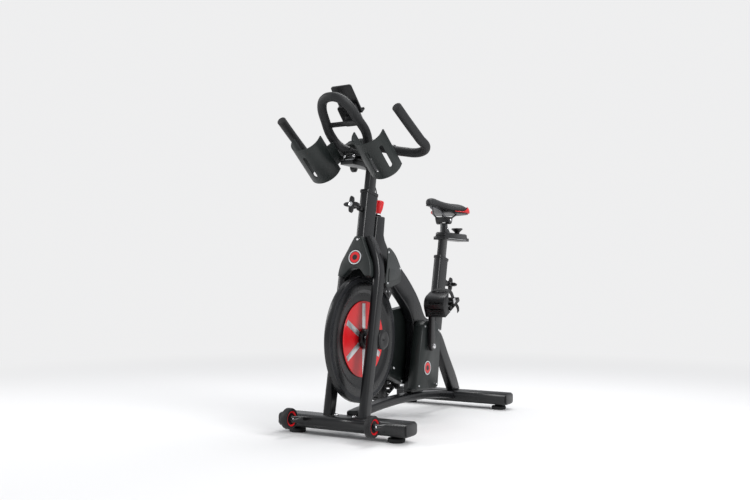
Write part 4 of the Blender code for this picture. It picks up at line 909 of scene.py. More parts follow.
# %% Axle, pulleys and belt
axle = spun("axle_bar", [(0.0, 0.0820), (0.0050, 0.0820), (0.0060, 0.0808),
                         (0.0060, -0.0808), (0.0050, -0.0820), (0.0, -0.0820)],
            AXLE, (1, 0, 0), 48)
done(axle, STEEL, "frame", "flywheel_axle")
for name, body, surface in (("flywheel_pulley", "flywheel", STEEL),
                            ("crank_pulley", "crank", BLACK),
                            ("drive_belt", "frame", TYRE)):
    done(refined(name, name + "_turned"), surface, body, name)
spindle = spun("crank_axle", [(0.0, 0.0705), (0.0085, 0.0705), (0.0100, 0.0690),
                              (0.0100, -0.0690), (0.0085, -0.0705), (0.0, -0.0705)],
               at(0, *BOTTOM), (1, 0, 0), 48)
done(spindle, STEEL, "crank", "crank_spindle")

# %% [markdown]
# ## Cranks and pedals
#
# A crank arm is forged: wide at the spindle, slim at the pedal, with a flat face and round
# edges. The pedal turns on a steel spindle that is screwed into it.

# %% Crank arms
CRANK = 0.170
for side, sign in (("left", 1), ("right", -1)):
    eye = arc((BOTTOM[0], BOTTOM[1] + sign * CRANK), 0.0120, 0 if sign > 0 else 180,
              180 if sign > 0 else 360, 16)
    boss = arc(BOTTOM, 0.01875, 180 if sign > 0 else 0, 360 if sign > 0 else 180, 16)
    arm = side_slab("crank_%s_forging" % side, eye + boss, sign * 0.071, sign * 0.087)
    edged(arm, 0.003, 4, 50)
    done(arm, BLACK, "crank", "crank_arm_" + side)
    pin = spun("pedal_pin_" + side,
               [(0.0, 0.0), (0.0065, 0.0), (0.0065, 0.0080), (0.0085, 0.0080),
                (0.0085, 0.0120), (0.0065, 0.0125), (0.0062, 0.0780), (0.0050, 0.0800),
                (0.0, 0.0800)],
               at(sign * 0.0830, BOTTOM[0], BOTTOM[1] + sign * CRANK), (sign, 0, 0), 48)
    done(pin, STEEL, "crank")
    nut = spun("crank_nut_" + side,
               [(0.0, 0.0085), (0.0050, 0.0085), (0.0090, 0.0070), (0.0100, 0.0050),
                (0.0100, 0.0), (0.0, 0.0)], at(sign * 0.0868, *BOTTOM), (sign, 0, 0), 48)
    done(nut, STEEL, "crank")

# %% [markdown]
# A pedal is an alloy cage: two toothed side plates, a barrel on the spindle and two cross
# bars. It is drawn level, in a measure of its own (u rearwards, v up), and then tipped toe
# down about its spindle as it hangs on the bike.

# %% Pedal bodies
TIP = math.radians(25)


def on_pedal(sign, across, u, v):
    """A place on a pedal, tipped about its spindle."""
    y = u * math.cos(TIP) - v * math.sin(TIP)
    z = u * math.sin(TIP) + v * math.cos(TIP)
    return at(sign * 0.138 + across, BOTTOM[0] + y, BOTTOM[1] + sign * CRANK + z)


def pedal_slab(name, sign, outline, x_from, x_to):
    return slab(name, [on_pedal(sign, x_from, u, v) for u, v in outline],
                (x_to - x_from, 0, 0))


for side, sign in (("left", 1), ("right", -1)):
    body = "pedal_" + side
    plate = [(-0.0440, -0.0095)] + [(0.0440, -0.0095), (0.0460, -0.0060)]
    plate += [(0.0460, 0.0060), (0.0440, 0.0070)]
    for k in range(8):
        u = 0.0410 - 0.0110 * k
        plate += [(u, 0.0070), (u - 0.0018, 0.0098), (u - 0.0040, 0.0098),
                  (u - 0.0058, 0.0070)]
    plate += [(-0.0460, 0.0060), (-0.0460, -0.0060)]
    pedal = pedal_slab("pedal_%s_cage" % side, sign, plate, -0.0440, -0.0400)
    other = pedal_slab("other_plate", sign, plate, 0.0400, 0.0440)
    barrel = spun("barrel", [(0.0, 0.0410), (0.0100, 0.0410), (0.0120, 0.0390),
                             (0.0088, 0.0200), (0.0088, -0.0200), (0.0120, -0.0390),
                             (0.0100, -0.0410), (0.0, -0.0410)],
                  on_pedal(sign, 0, 0, 0), (1, 0, 0), 48)
    front = pedal_slab("front_bar", sign, [(-0.0440, -0.0080), (-0.0340, -0.0080),
                                           (-0.0340, 0.0070), (-0.0440, 0.0070)],
                       -0.0410, 0.0410)
    back = pedal_slab("back_bar", sign, [(0.0340, -0.0080), (0.0440, -0.0080),
                                         (0.0440, 0.0070), (0.0340, 0.0070)],
                      -0.0410, 0.0410)
    bridge = pedal_slab("bridge", sign, [(-0.0350, -0.0030), (0.0350, -0.0030),
                                         (0.0350, 0.0030), (-0.0350, 0.0030)],
                        -0.0100, 0.0100)
    joined(pedal, other, front, back, bridge, barrel)
    bore = spun("pedal_bore", [(0.0, 0.090), (0.0078, 0.090), (0.0078, 0.0), (0.0, 0.0)],
                on_pedal(sign, -sign * 0.050, 0, 0), (sign, 0, 0), 32)
    cut(pedal, bore)
    done(pedal, BLACK, body, "pedal_" + side)
    end = spun("pedal_end_" + side, [(0.0, 0.0022), (0.0070, 0.0022), (0.0090, 0.0008),
                                     (0.0095, 0.0), (0.0, 0.0)],
               on_pedal(sign, sign * 0.0440, 0, 0), (sign, 0, 0), 32)
    done(end, BLACK, body)

# %% [markdown]
# The toe cage is a bent nylon band with moulded cheeks and long slots. The strap is flat
# webbing: it comes up through the cage's slots, crosses over the shoe and is drawn tight
# through a buckle on the outside, and its tail hangs free.

# %% Toe cages and straps
WEBBING = finish("strap_webbing", (0.0045, 0.0045, 0.0050), (0.0100, 0.0100, 0.0110),
                 (0.66, 0.80), grain=380.0, relief=0.45, wear=0.05,
                 stretch=(1.0, 3.0, 1.0))


def ribbon(name, centres, width_step, thick):
    """A flat strap: a line of points with a constant sideways step, made solid."""
    points = [p - width_step / 2 for p in centres] + [p + width_step / 2 for p in centres]
    count = len(centres)
    faces = [(k, k + 1, count + k + 1, count + k) for k in range(count - 1)]
    strap = from_points(name, points, faces=faces)
    applied(strap, "SOLIDIFY", thickness=thick, offset=0.0)
    edged(strap, thick * 0.3, 2, 60)
    return closed_up(strap)


for side, sign in (("left", 1), ("right", -1)):
    body = "pedal_" + side
    nose = arc((-0.055, 0.022), 0.0400, 180, 90, 24)
    inside = arc((-0.055, 0.022), 0.0365, 90, 180, 24)
    band = [(-0.0464, -0.0120), (-0.0950, -0.0120)] + nose + [(-0.0180, 0.0620)]
    band += [(-0.0180, 0.0585)] + inside + [(-0.0915, -0.0085), (-0.0464, -0.0085)]
    cage = pedal_slab("toe_cage_%s_band" % side, sign, band, -0.0430, 0.0430)
    for u, v, wide, tall in ((-0.0850, 0.044, 0.050, 0.006), (-0.0950, 0.020, 0.056, 0.007),
                             (-0.0950, 0.002, 0.040, 0.006)):
        slot = pedal_slab("slot", sign, [(u - 0.012, v - tall / 2), (u + 0.014, v - tall / 2),
                                         (u + 0.014, v + tall / 2),
                                         (u - 0.012, v + tall / 2)], -wide / 2, wide / 2)
        cut(cage, slot)
    edged(cage, 0.0009, 2, 50)
    done(cage, BLACK, body, "toe_cage_" + side)
    cheek = [(-0.0500, -0.0080)] + [(-0.0895, -0.0080)]
    cheek += arc((-0.055, 0.022), 0.0355, 180, 90, 16)
    cheek += [(-0.0300, 0.0575), (-0.0400, 0.0400), (-0.0580, 0.0140), (-0.0560, 0.0)]
    for number, x in ((1, -0.0425), (2, 0.0400)):
        wall = pedal_slab("toe_cage_%s_cheek_%d" % (side, number), sign, cheek, x, x + 0.0025)
        edged(wall, 0.0007, 2, 50)
        done(wall, BLACK, body)
    over = smooth([(-0.0450, -0.0060), (-0.0478, 0.0120), (-0.0470, 0.0380),
                   (-0.0380, 0.0600), (0.0, 0.0680), (0.0380, 0.0600), (0.0470, 0.0380),
                   (0.0478, 0.0120), (0.0450, -0.0060)], 5)
    step = on_pedal(sign, 0, 0.022, 0.0) - on_pedal(sign, 0, 0.0, 0.0)
    strap = ribbon("toe_strap_" + side,
                   [on_pedal(sign, a, -0.012, b) for a, b in over], step, 0.0016)
    done(strap, WEBBING, body)
    tail = smooth([(0.0484, 0.0140), (0.0540, 0.0060), (0.0600, -0.0120),
                   (0.0575, -0.0300)], 5)
    hanging = ribbon("strap_tail_" + side,
                     [on_pedal(sign, sign * a, -0.012, b) for a, b in tail],
                     step * 0.9, 0.0015)
    done(hanging, WEBBING, body)
    buckle = [(-0.0145, 0.0100), (0.0145, 0.0100), (0.0145, 0.0290), (-0.0145, 0.0290)]
    clip = slab("strap_buckle_" + side,
                [on_pedal(sign, sign * 0.0482, u - 0.012, v) for u, v in buckle],
                (sign * 0.0032, 0, 0))
    edged(clip, 0.0010, 2)
    done(clip, BLACK, body)
    tongue = slab("buckle_tongue_" + side,
                  [on_pedal(sign, sign * 0.0508, u * 0.6 - 0.012, v) for u, v in buckle],
                  (sign * 0.0014, 0, 0))
    edged(tongue, 0.0005, 2)
    done(tongue, STEEL, body)

# %% [markdown]
# ## Knobs and the brake
#
# The height knobs are moulded four-lobed stars on a threaded boss. The lobes are one wavy
# outline with a deep bevel, and a steel plunger runs from the boss into the tube.

# %% Star knobs
def star(outer, inner, steps=14):
    points = []
    for step in range(4 * steps):
        angle = math.tau * step / (4 * steps)
        wave = 0.5 + 0.5 * math.cos(4 * angle)
        radius = inner + (outer - inner) * wave ** 1.3
        points.append((radius * math.cos(angle), radius * math.sin(angle)))
    return points


for node, body, top, lean, facing, drop in (
        ("handlebar_height_knob", "bar_height_knob", HEAD_TOP, HEAD_LEAN, -1, 0.066),
        ("seat_height_knob", "saddle_height_knob", SEAT_TOP, SEAT_LEAN, 1, 0.084)):
    out = Vector((0.0, facing * math.cos(lean), -facing * math.sin(lean)))
    up = Vector((0.0, math.sin(lean), math.cos(lean)))
    wall = up_tube(top, lean, 0, facing * 0.040, -drop)
    ends = [wall + out * 0.0650 + Vector((a, 0, 0)) + up * b for a, b in star(0.031, 0.0125)]
    head = slab(node + "_star", ends, out * 0.0140)
    edged(head, 0.0042, 4, 30)
    boss = spun("boss", [(0.0, 0.0660), (0.0125, 0.0660), (0.0120, 0.0520),
                         (0.0095, 0.0500), (0.0095, 0.0460), (0.0, 0.0460)], wall, out, 48)
    joined(head, boss)
    done(head, BLACK, body, node)
    stem = spun(node + "_plunger",
                [(0.0, 0.0500), (0.0062, 0.0500), (0.0062, 0.0240), (0.0100, 0.0230),
                 (0.0100, 0.0120), (0.0066, 0.0110), (0.0066, 0.0012), (0.0, 0.0012)],
                wall, out, 48)
    done(stem, BLACK, body)
    face = spun(node + "_face", [(0.0, 0.0805), (0.0070, 0.0803), (0.0085, 0.0793),
                                 (0.0085, 0.0780), (0.0, 0.0780)], wall, out, 48)
    done(face, SILVER, body)

# %% [markdown]
# The red knob sets the magnetic brake: turning it draws the magnets over the rim, and
# pushing it down stops the wheel. It is fluted, so that a wet hand can turn it, and it
# stands on a steel rod with a black rubber boot.

# %% Brake knob
rise = Vector((0.0, math.sin(HEAD_LEAN), math.cos(HEAD_LEAN)))
brake_low = at(0.0, 0.116, 0.7883)
knob_foot = brake_low + rise * 0.0233
body = spun("brake_knob", [(0.0, 0.0380), (0.0120, 0.0378), (0.0150, 0.0365),
                           (0.0168, 0.0335), (0.0170, 0.0300), (0.0150, 0.0100),
                           (0.0125, 0.0005), (0.0085, -0.0115), (0.0050, -0.0120),
                           (0.0050, 0.0100), (0.0, 0.0100)], knob_foot, rise, 72)
for k in range(9):
    angle = math.tau * k / 9
    side = (Vector((1, 0, 0)) * math.cos(angle)
            + rise.cross(Vector((1, 0, 0))) * math.sin(angle))
    flute = spun("flute", [(0.0, 0.033), (0.0022, 0.030), (0.0026, 0.012), (0.0, 0.006)],
                 knob_foot + side * 0.0178, rise, 16)
    cut(body, flute)
done(body, RED, "brake_dial", "resistance_knob")
shaft = spun("brake_shaft", [(0.0, 0.0330), (0.0045, 0.0330), (0.0045, -0.0160),
                             (0.0, -0.0160)], brake_low, rise, 32)
done(shaft, STEEL, "brake_plunger", "brake_rod")
gaiter = spun("brake_gaiter", [(0.0062, 0.0006), (0.0120, 0.0006), (0.0125, 0.0020),
                               (0.0090, 0.0035), (0.0105, 0.0050), (0.0075, 0.0065),
                               (0.0062, 0.0065)], brake_low, rise, 48)
done(gaiter, TYRE, "frame")
done(refined("magnet_carrier", "magnet_yoke"), BLACK, "magnets", "magnet_carrier")
for sign in (1, -1):
    for reach in (0.012, -0.012):
        screw_at(at(sign * 0.0200, 0.1539 + reach, 0.5059), (sign, 0, 0), 0.006, "magnets")

# %% [markdown]
# ## Posts and slides
#
# The posts are drawn tube. The handlebar post carries a channel, and the slide that runs
# in it is fixed by two silver bolts at the front, over a pale strip.

# %% Handlebar post and slide
for node, name, body in (("handlebar_post", "bar_post_tube", "bar_post"),
                         ("seat_post", "saddle_post_tube", "saddle_post")):
    post = refined(node, name)
    edged(post, 0.0012, 2, 60)
    done(post, PAINT, body, node, angle=45)
slide = refined("handlebar_slide", "bar_slide_body")
done(slide, PAINT, "bars", "handlebar_slide", angle=45)
for x in (-0.019, 0.019):
    screw_at(at(x, -0.0876, 0.9905), (0, -1, 0), 0.011, "bars")
strip = slab("slide_scale", [at(-0.017, -0.0873, 0.9780), at(0.017, -0.0873, 0.9780),
                             at(0.017, -0.0873, 0.9810), at(-0.017, -0.0873, 0.9810)],
             (0, 0.0004, 0))
done(strip, SILVER, "bars")
for name, node, body, place, axis in (
        ("bar_reach", "handlebar_reach_knob", "bar_reach_knob", at(-0.050, 0.028, 0.968),
         (-1, 0, 0)),
        ("seat_reach", "seat_reach_knob", "saddle_reach_knob", at(0, 0.814, 0.7586),
         (0, 0, 1))):
    knob = refined(node, name + "_knob_body")
    edged(knob, 0.0008, 2, 30)
    done(knob, BLACK, body, node, angle=50)

# %% [markdown]
# ## Handlebars
#
# One bent tube makes both outer bars and a second makes the centre loop. Both are dipped in
# soft rubber, which ends in round caps. They are swept along the routes of the model's
# bars, with more steps, and the loop is cut where it meets the bar.

# %% Bars, loop and end caps
BAR_ROUTE = [(0.2406, -0.1700, 1.1290), (0.2450, -0.1000, 1.0870),
             (0.2500, -0.0200, 1.0410), (0.2520, 0.0200, 1.0180),
             (0.2240, 0.0380, 1.0060), (0.1500, 0.0260, 1.0120),
             (0.0800, 0.0100, 1.0280), (0.0, 0.0040, 1.0330)]
LOOP_ROUTE = [(0.0280, -0.0480, 1.0170), (0.0560, -0.0600, 1.0330),
              (0.0730, -0.0880, 1.0640), (0.0660, -0.1420, 1.1140),
              (0.0500, -0.1880, 1.1600), (0.0280, -0.2060, 1.1770),
              (0.0, -0.2110, 1.1820)]


def both_sides(route):
    return [at(*p) for p in route] + [at(-x, y, z) for x, y, z in reversed(route[:-1])]


bars = swept("outer_bars", both_sides(BAR_ROUTE), 0.0168)
done(bars, GRIP, "bars", "handlebar", angle=60)
loop = swept("centre_loop_bar", both_sides(LOOP_ROUTE), 0.0168)
cut(loop, swept("bar_space", both_sides(BAR_ROUTE), 0.0171))
done(loop, GRIP, "bars", "center_loop", angle=60)
tip, before = at(*BAR_ROUTE[0]), at(*BAR_ROUTE[1])
for side, sign in (("left", 1), ("right", -1)):
    place = Vector((tip.x * sign, tip.y, tip.z))
    out = Vector(((tip.x - before.x) * sign, tip.y - before.y, tip.z - before.z))
    cap = spun("bar_end_" + side,
               [(0.0, 0.0030), (0.0100, 0.0028), (0.0150, 0.0016), (0.0170, -0.0010),
                (0.0172, -0.0040), (0.0166, -0.0048), (0.0, -0.0048)], place, out, 64)
    done(cap, TYRE, "bars")
for side, sign in (("left", 1), ("right", -1)):
    ring = spun("grip_ring_" + side,
                [(0.0168, 0.0), (0.0182, 0.0010), (0.0182, 0.0080), (0.0168, 0.0090)],
                at(sign * 0.1180, 0.0180, 1.0198), (sign * 0.97, 0.16, -0.16), 64)
    done(ring, BLACK, "bars")

# %% [markdown]
# A cast bridge covers the joint of the loop and the bars, and a flat crossbar between the
# loop's legs carries the console's arm. The crossbar and arm are black painted metal, and the
# bridge has the shroud's moulded finish.

# %% Bridge cover and crossbar
dome = []
for k in range(9):
    x = -0.062 + 0.124 * k / 8
    swell = 0.018 * math.sqrt(max(0.0, 1 - (2 * k / 8 - 1) ** 2))
    dome.append([at(x, -0.004 + a * (0.020 + 0.3 * swell), 1.0460 + b * (0.004 + swell))
                 for a, b in arc((0, 0), 1.0, 0, 342, 19)])
done(skinned("bridge_cover", dome), SHROUD, "bars", angle=60)
LEAN = math.radians(35)
mid = at(0, -0.128, 1.101)
flat, tall = (Vector((0, math.cos(LEAN), -math.sin(LEAN))),
              Vector((0, math.sin(LEAN), math.cos(LEAN))))
bar = slab("console_crossbar",
           [mid + Vector((-0.058, 0, 0)) + flat * a + tall * b
            for a, b in rounded(0.022, 0.006, 0.0025, 4)], (0.116, 0, 0))
done(bar, PAINT, "bars")
arm_line = smooth([(-0.122, 1.100), (-0.108, 1.108), (-0.094, 1.122), (-0.084, 1.142)], 5)
arm = ribbon("console_arm", [at(0, y, z) for y, z in arm_line], Vector((0.030, 0, 0)), 0.006)
done(arm, PAINT, "bars")
for x in (-0.040, 0.040):
    screw_at(mid + Vector((x, 0, 0)) + tall * 0.0028, tall, 0.008, "bars")

# %% [markdown]
# The dumbbell cradles are deep open troughs of thick moulded plastic, one under each bar.
# Each is a U outline extruded down its slope, with a rounded lip and long slots that save
# weight. A short bracket holds it up.

# %% Dumbbell cradles
SLOPE = math.radians(38)
along_trough = Vector((0.0, math.cos(SLOPE), -math.sin(SLOPE)))
out_of_trough = Vector((0.0, math.sin(SLOPE), math.cos(SLOPE)))
for side, sign in (("left", 1), ("right", -1)):
    centre = at(sign * 0.1285, -0.1100, 0.9990)

    def on_cradle(x, up, reach):
        return centre + Vector((x, 0, 0)) + out_of_trough * up + along_trough * reach

    section = [(-0.060, 0.012)] + arc((0, 0), 0.060, 180, 360, 40) + [(0.060, 0.012)]
    section += [(0.055, 0.012)] + arc((0, 0), 0.055, 360, 180, 40) + [(-0.055, 0.012)]
    trough = slab("cradle_%s_trough" % side,
                  [on_cradle(x, up, -0.0825) for x, up in section], along_trough * 0.165)
    for swing in (0, 55 * sign):
        angle = math.radians(swing)
        down = Vector((math.sin(angle), -math.cos(angle)))
        beside = Vector((math.cos(angle), math.sin(angle)))
        hole = [on_cradle(down.x * 0.030 + beside.x * a, down.y * 0.030 + beside.y * a, b)
                for a, b in rounded(0.014, 0.100, 0.0069, 6)]
        push = on_cradle(down.x * 0.080, down.y * 0.080, 0) - on_cradle(
            down.x * 0.030, down.y * 0.030, 0)
        cut(trough, slab("slot", hole, push))
    edged(trough, 0.0018, 3, 50)
    done(trough, SHROUD, "bars", "dumbbell_cradle_" + side)
    lip = [(-sign * x, up) for x, up in ((0.0548, 0.006), (0.0602, 0.006), (0.0640, 0.016),
                                         (0.0760, 0.031), (0.0730, 0.035), (0.0600, 0.021),
                                         (0.0550, 0.012))]
    wing = slab("cradle_wing_" + side, [on_cradle(x, up, -0.030) for x, up in lip],
                along_trough * 0.090)
    edged(wing, 0.0016, 3, 40)
    done(wing, SHROUD, "bars")
    hand = slab("cradle_arm_" + side,
                [at(sign * 0.030, y, z) for y, z in ((-0.062, 0.984), (-0.030, 0.984),
                                                     (-0.030, 1.000), (-0.062, 1.000))],
                (sign * 0.045, 0, 0))
    edged(hand, 0.003, 3)
    done(hand, PAINT, "bars")

# %% [markdown]
# ## Console and tablet rest
#
# The console is a small moulded box that leans back towards the rider, with a dark screen
# behind a bezel and two buttons. A flat plate behind it holds a tablet on a padded ledge.
# No words or marks are put on either.

# %% Console
C = (-0.0884, 1.1515)
LEAN45 = math.radians(45)


def on_console(across, up, out):
    return at(across, C[0] - up * math.sin(LEAN45) + out * math.cos(LEAN45),
              C[1] + up * math.cos(LEAN45) + out * math.sin(LEAN45))


face_out = on_console(0, 0, 1) - on_console(0, 0, 0)
case = slab("console_case", [on_console(a, b - 0.012, -0.013)
                             for a, b in rounded(0.072, 0.086, 0.012, 6)], face_out * 0.026)
edged(case, 0.0030, 4, 50)
for side, sign in (("left", 1), ("right", -1)):
    cut(case, spun("pocket", [(0.0, 0.010), (0.0053, 0.010), (0.0053, -0.004),
                              (0.0, -0.004)], on_console(sign * 0.018, -0.045, 0.013),
                   face_out, 32))
done(case, BLACK, "bars", "console")
GLASS = finish("dark_glass", (0.004, 0.005, 0.006), (0.008, 0.009, 0.010), (0.06, 0.12),
               grain=60.0, relief=0.01, coat=0.6, wear=0.0)
plate = slab("tablet_plate", [on_console(a, b + 0.040, 0.0134)
                              for a, b in rounded(0.084, 0.118, 0.007, 6)],
             face_out * 0.0078)
edged(plate, 0.0018, 3, 50)
done(plate, BLACK, "bars", "tablet_rest")
glass = slab("tablet_pad", [on_console(a, b + 0.044, 0.0210)
                            for a, b in rounded(0.076, 0.100, 0.005, 6)],
             face_out * 0.0008)
done(glass, GLASS, "bars")
ledge = slab("tablet_ledge", [on_console(-0.042, -0.019 + a, 0.0140 + b)
                              for a, b in ((0.0, 0.0), (0.006, 0.0), (0.006, 0.020),
                                           (0.0085, 0.0245), (0.0, 0.0245))],
             (0.084, 0, 0))
edged(ledge, 0.0015, 3, 30)
done(ledge, BLACK, "bars")
screen = slab("console_screen", [on_console(a, b - 0.034, 0.0128)
                                 for a, b in rounded(0.050, 0.010, 0.003, 4)],
              face_out * 0.0008)
done(screen, GLASS, "bars")
for side, sign in (("left", 1), ("right", -1)):
    button = spun("button_cap_" + side,
                  [(0.0, 0.0028), (0.0035, 0.0025), (0.0048, 0.0016), (0.0050, 0.0004),
                   (0.0050, -0.0012), (0.0, -0.0012)],
                  on_console(sign * 0.018, -0.045, 0.0130), face_out, 48)
    done(button, RED, "button_" + side, "console_button_" + side)

# %% [markdown]
# ## Saddle, rails and slide
#
# The saddle's cover is vinyl drawn over foam, so it has no flat place: the nose is narrow
# and round, the sides pull in at the waist, and the tail is broad. It is lofted from
# sections, remeshed and blown up slightly as cloth, as foam fills a cover. A moulded shell
# closes its sole, and the red flanks at the rear are separate panels.

# %% Saddle sections
STATIONS = [(0.010, 0.06, -0.013, 0.018), (0.04, 0.20, -0.003, 0.034),
            (0.14, 0.25, 0.000, 0.038), (0.30, 0.31, -0.005, 0.036),
            (0.46, 0.42, -0.010, 0.038), (0.62, 0.68, -0.014, 0.042),
            (0.78, 0.94, -0.014, 0.046), (0.90, 1.00, -0.014, 0.048),
            (0.965, 0.90, -0.018, 0.046), (0.99, 0.62, -0.026, 0.034)]
SADDLE_LENGTH, SADDLE_WIDTH, SADDLE_TOP = 0.250, 0.172, 0.898
SADDLE_NOSE = 0.5250


def saddle_ring(station, shrink=0.0, steps=32):
    share, wide, top, deep = station
    half = wide * SADDLE_WIDTH / 2 - shrink
    crown = SADDLE_TOP + top - shrink
    sole = SADDLE_TOP + top - deep
    points = []
    for step in range(steps):
        angle = math.tau * step / steps
        across = math.copysign(abs(math.cos(angle)) ** 0.75, math.cos(angle))
        height = math.sin(angle)
        if height >= 0:
            z = sole + 0.010 + (crown - sole - 0.010) * height ** 0.80
        else:
            z = sole + 0.010 + 0.006 * height
        points.append(at(half * across, SADDLE_NOSE + share * SADDLE_LENGTH, z))
    return points


sections = smooth([Vector(s) for s in STATIONS], 4)
print("saddle sections:", len(sections))

# %% [markdown]
# The pad is skinned from the sections and given even faces by a remesh. Cloth with a little
# pressure then fills it out. The cover is drawn tight on a firm shell, so no point may move
# more than three millimetres, and the ripples are smoothed away.

# %% Saddle pad
COVER_MOVE = 0.003
pad = skinned("saddle_pad", [saddle_ring(s, 0.002) for s in sections])
applied(pad, "REMESH", mode="VOXEL", voxel_size=0.004)
before = [v.co.copy() for v in pad.data.vertices]
only(pad)
bpy.ops.object.modifier_add(type="CLOTH")
cloth = pad.modifiers[-1]
cloth.settings.use_pressure = True
cloth.settings.uniform_pressure_force = 4.0
cloth.settings.effector_weights.gravity = 0.0
cloth.settings.quality = 6
for number in range(1, 17):
    bpy.context.scene.frame_set(number)
bpy.ops.object.modifier_apply(modifier=cloth.name)
for vertex, origin in zip(pad.data.vertices, before):
    move = vertex.co - origin
    if move.length > COVER_MOVE:
        vertex.co = origin + move.normalized() * COVER_MOVE
bpy.context.scene.frame_set(1)
applied(pad, "SMOOTH", factor=0.5, iterations=4)
applied(pad, "SUBSURF", levels=1, render_levels=1)
done(pad, VINYL, "saddle_top", "saddle", angle=80)

# %% [markdown]
# A moulded shell closes the sole, and it is skinned from flat ovals on the same sections.
# The red flanks are panels that lie a little outside the pad, so they are grids picked from
# its own rings and then given a thickness.

# %% Saddle shell and flanks
shell_rings = []
for s in sections[2:-2]:
    share, wide, top, deep = s
    half = wide * SADDLE_WIDTH / 2 - 0.004
    sole = SADDLE_TOP + top - deep
    y = SADDLE_NOSE + share * SADDLE_LENGTH
    shell_rings.append([at(half * math.cos(t), y, sole + 0.0035 + 0.0030 * math.sin(t))
                        for t in [math.tau * k / 24 for k in range(24)]])
shell = skinned("saddle_shell", shell_rings)
done(shell, BLACK, "saddle_top")


def flank(name, sign):
    """A red panel laid over the rear flank, following the saddle's own sections."""
    rows = []
    for s in sections[20:35]:
        share = s[0]
        reach = min(1.0, max(0.05, (share - 0.60) / 0.34))
        ring = saddle_ring(s, -0.0026, 64)
        picked = []
        for k in range(9):
            angle = math.radians(-34 + 70 * reach * k / 8)
            index = angle / math.tau * 64
            below, part = math.floor(index), index - math.floor(index)
            p = ring[below % 64].lerp(ring[(below + 1) % 64], part)
            picked.append(Vector((p.x * sign, p.y, p.z)))
        rows.append(picked)
    points = [p for row in rows for p in row]
    faces = [(r * 9 + k, r * 9 + k + 1, (r + 1) * 9 + k + 1, (r + 1) * 9 + k)
             for r in range(len(rows) - 1) for k in range(8)]
    patch = from_points(name, points, faces=faces)
    applied(patch, "SOLIDIFY", thickness=0.0016, offset=0.0)
    return closed_up(patch)


done(flank("saddle_flank_left", 1), RED_VINYL, "saddle_top", angle=60)
done(flank("saddle_flank_right", -1), RED_VINYL, "saddle_top", angle=60)

# %% [markdown]
# Under the saddle two bent steel wires run through a forged clamp, which tilts on the
# pillar. The pillar stands on a carriage that slides on the post's channel.

# %% Rails, clamp and carriage
RAIL = [(0.0420, 0.7440, 0.8480), (0.0300, 0.7320, 0.8340), (0.0220, 0.7040, 0.8215),
        (0.0220, 0.6560, 0.8215), (0.0220, 0.6250, 0.8330), (0.0120, 0.5960, 0.8520),
        (0.0, 0.5650, 0.8580)]
rails = swept("saddle_wires", both_sides(RAIL), 0.0035, 8, 4)
done(rails, DARK_STEEL, "saddle_top", "saddle_rails", angle=60)
clamp = refined("saddle_clamp", "saddle_clamp_body")
edged(clamp, 0.0010, 2, 50)
done(clamp, BLACK, "saddle_top", "saddle_clamp")
for sign in (1, -1):
    screw_at(at(sign * 0.0310, 0.680, 0.812), (sign, 0, 0), 0.014, "saddle_top")
carriage = refined("seat_carriage", "saddle_carriage_body")
edged(carriage, 0.0012, 2, 50)
done(carriage, PAINT, "saddle_carriage", "seat_carriage")
for sign in (1, -1):
    screw_at(at(sign * 0.0120, 0.692, 0.776), (sign, 0, 0), 0.009, "saddle_carriage")
for sign, side in ((1, "left"), (-1, "right")):
    scale = slab("rail_scale_" + side, [at(sign * 0.0271, y, z) for y, z in
                                        ((0.670, 0.7300), (0.850, 0.7300),
                                         (0.850, 0.7318), (0.670, 0.7318))],
                 (sign * 0.0003, 0, 0))
    done(scale, SILVER, "saddle_post")

# %% [markdown]
# ## The console's lead
#
# A thin sheathed lead leaves the channel under the handlebars, hangs in a loose curve
# behind the post, and goes into the frame's cap.

# %% Lead and its sleeve
LEAD = [(-0.0120, 0.0990, 0.9597), (-0.0130, 0.1000, 0.9460), (-0.0180, 0.1150, 0.9200),
        (-0.0240, 0.1420, 0.8880), (-0.0270, 0.1540, 0.8580), (-0.0260, 0.1500, 0.8300),
        (-0.0200, 0.1380, 0.8080), (-0.0145, 0.1290, 0.7970), (-0.0140, 0.1270, 0.7883)]
route = smooth([at(*p) for p in LEAD], 3)
lead = swept("console_lead_sheath", [at(*p) for p in LEAD], 0.0022, 8, 4)
only(lead)
bpy.ops.object.shade_smooth_by_angle(angle=math.radians(60))
lead.data.materials.clear()
lead.data.materials.append(TYRE)
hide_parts("console_lead")
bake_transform(lead)
length = sum((b - a).length for a, b in zip(route, route[1:]))
print("lead length", round(length, 4))
sleeve = spun("lead_relief", [(0.0024, 0.0), (0.0048, 0.0), (0.0044, 0.004),
                              (0.0030, 0.012), (0.0024, 0.012)],
              at(*LEAD[-1]) + Vector((0, 0, 0.0006)),
              at(*LEAD[-2]) - at(*LEAD[-1]), 32)
done(sleeve, TYRE, "frame")

# %% [markdown]
# ## The room, the light and the camera
#
# The floor is one wide pale disc. Close to the bike it takes shadows. Further out it fades
# into the same pale tone as the background, so that no horizon shows.

# %% Floor
bpy.ops.mesh.primitive_circle_add(vertices=96, radius=30.0, fill_type="NGON",
                                  location=(0.0, 0.0, 0.0))
floor = bpy.context.object
floor.name = "studio_floor"
floor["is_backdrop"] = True
PALE = (0.86, 0.86, 0.865, 1.0)
material = bpy.data.materials.new("studio_floor")
material.use_nodes = True
tree = material.node_tree
place = tree.nodes.new("ShaderNodeTexCoord")
reach = tree.nodes.new("ShaderNodeVectorMath")
reach.operation = "LENGTH"
tree.links.new(place.outputs["Object"], reach.inputs[0])
fade = tree.nodes.new("ShaderNodeMapRange")
fade.inputs["From Min"].default_value = 1.0
fade.inputs["From Max"].default_value = 3.6
fade.interpolation_type = "SMOOTHSTEP"
tree.links.new(reach.outputs["Value"], fade.inputs["Value"])
glow = tree.nodes.new("ShaderNodeEmission")
glow.inputs["Color"].default_value = PALE
mix = tree.nodes.new("ShaderNodeMixShader")
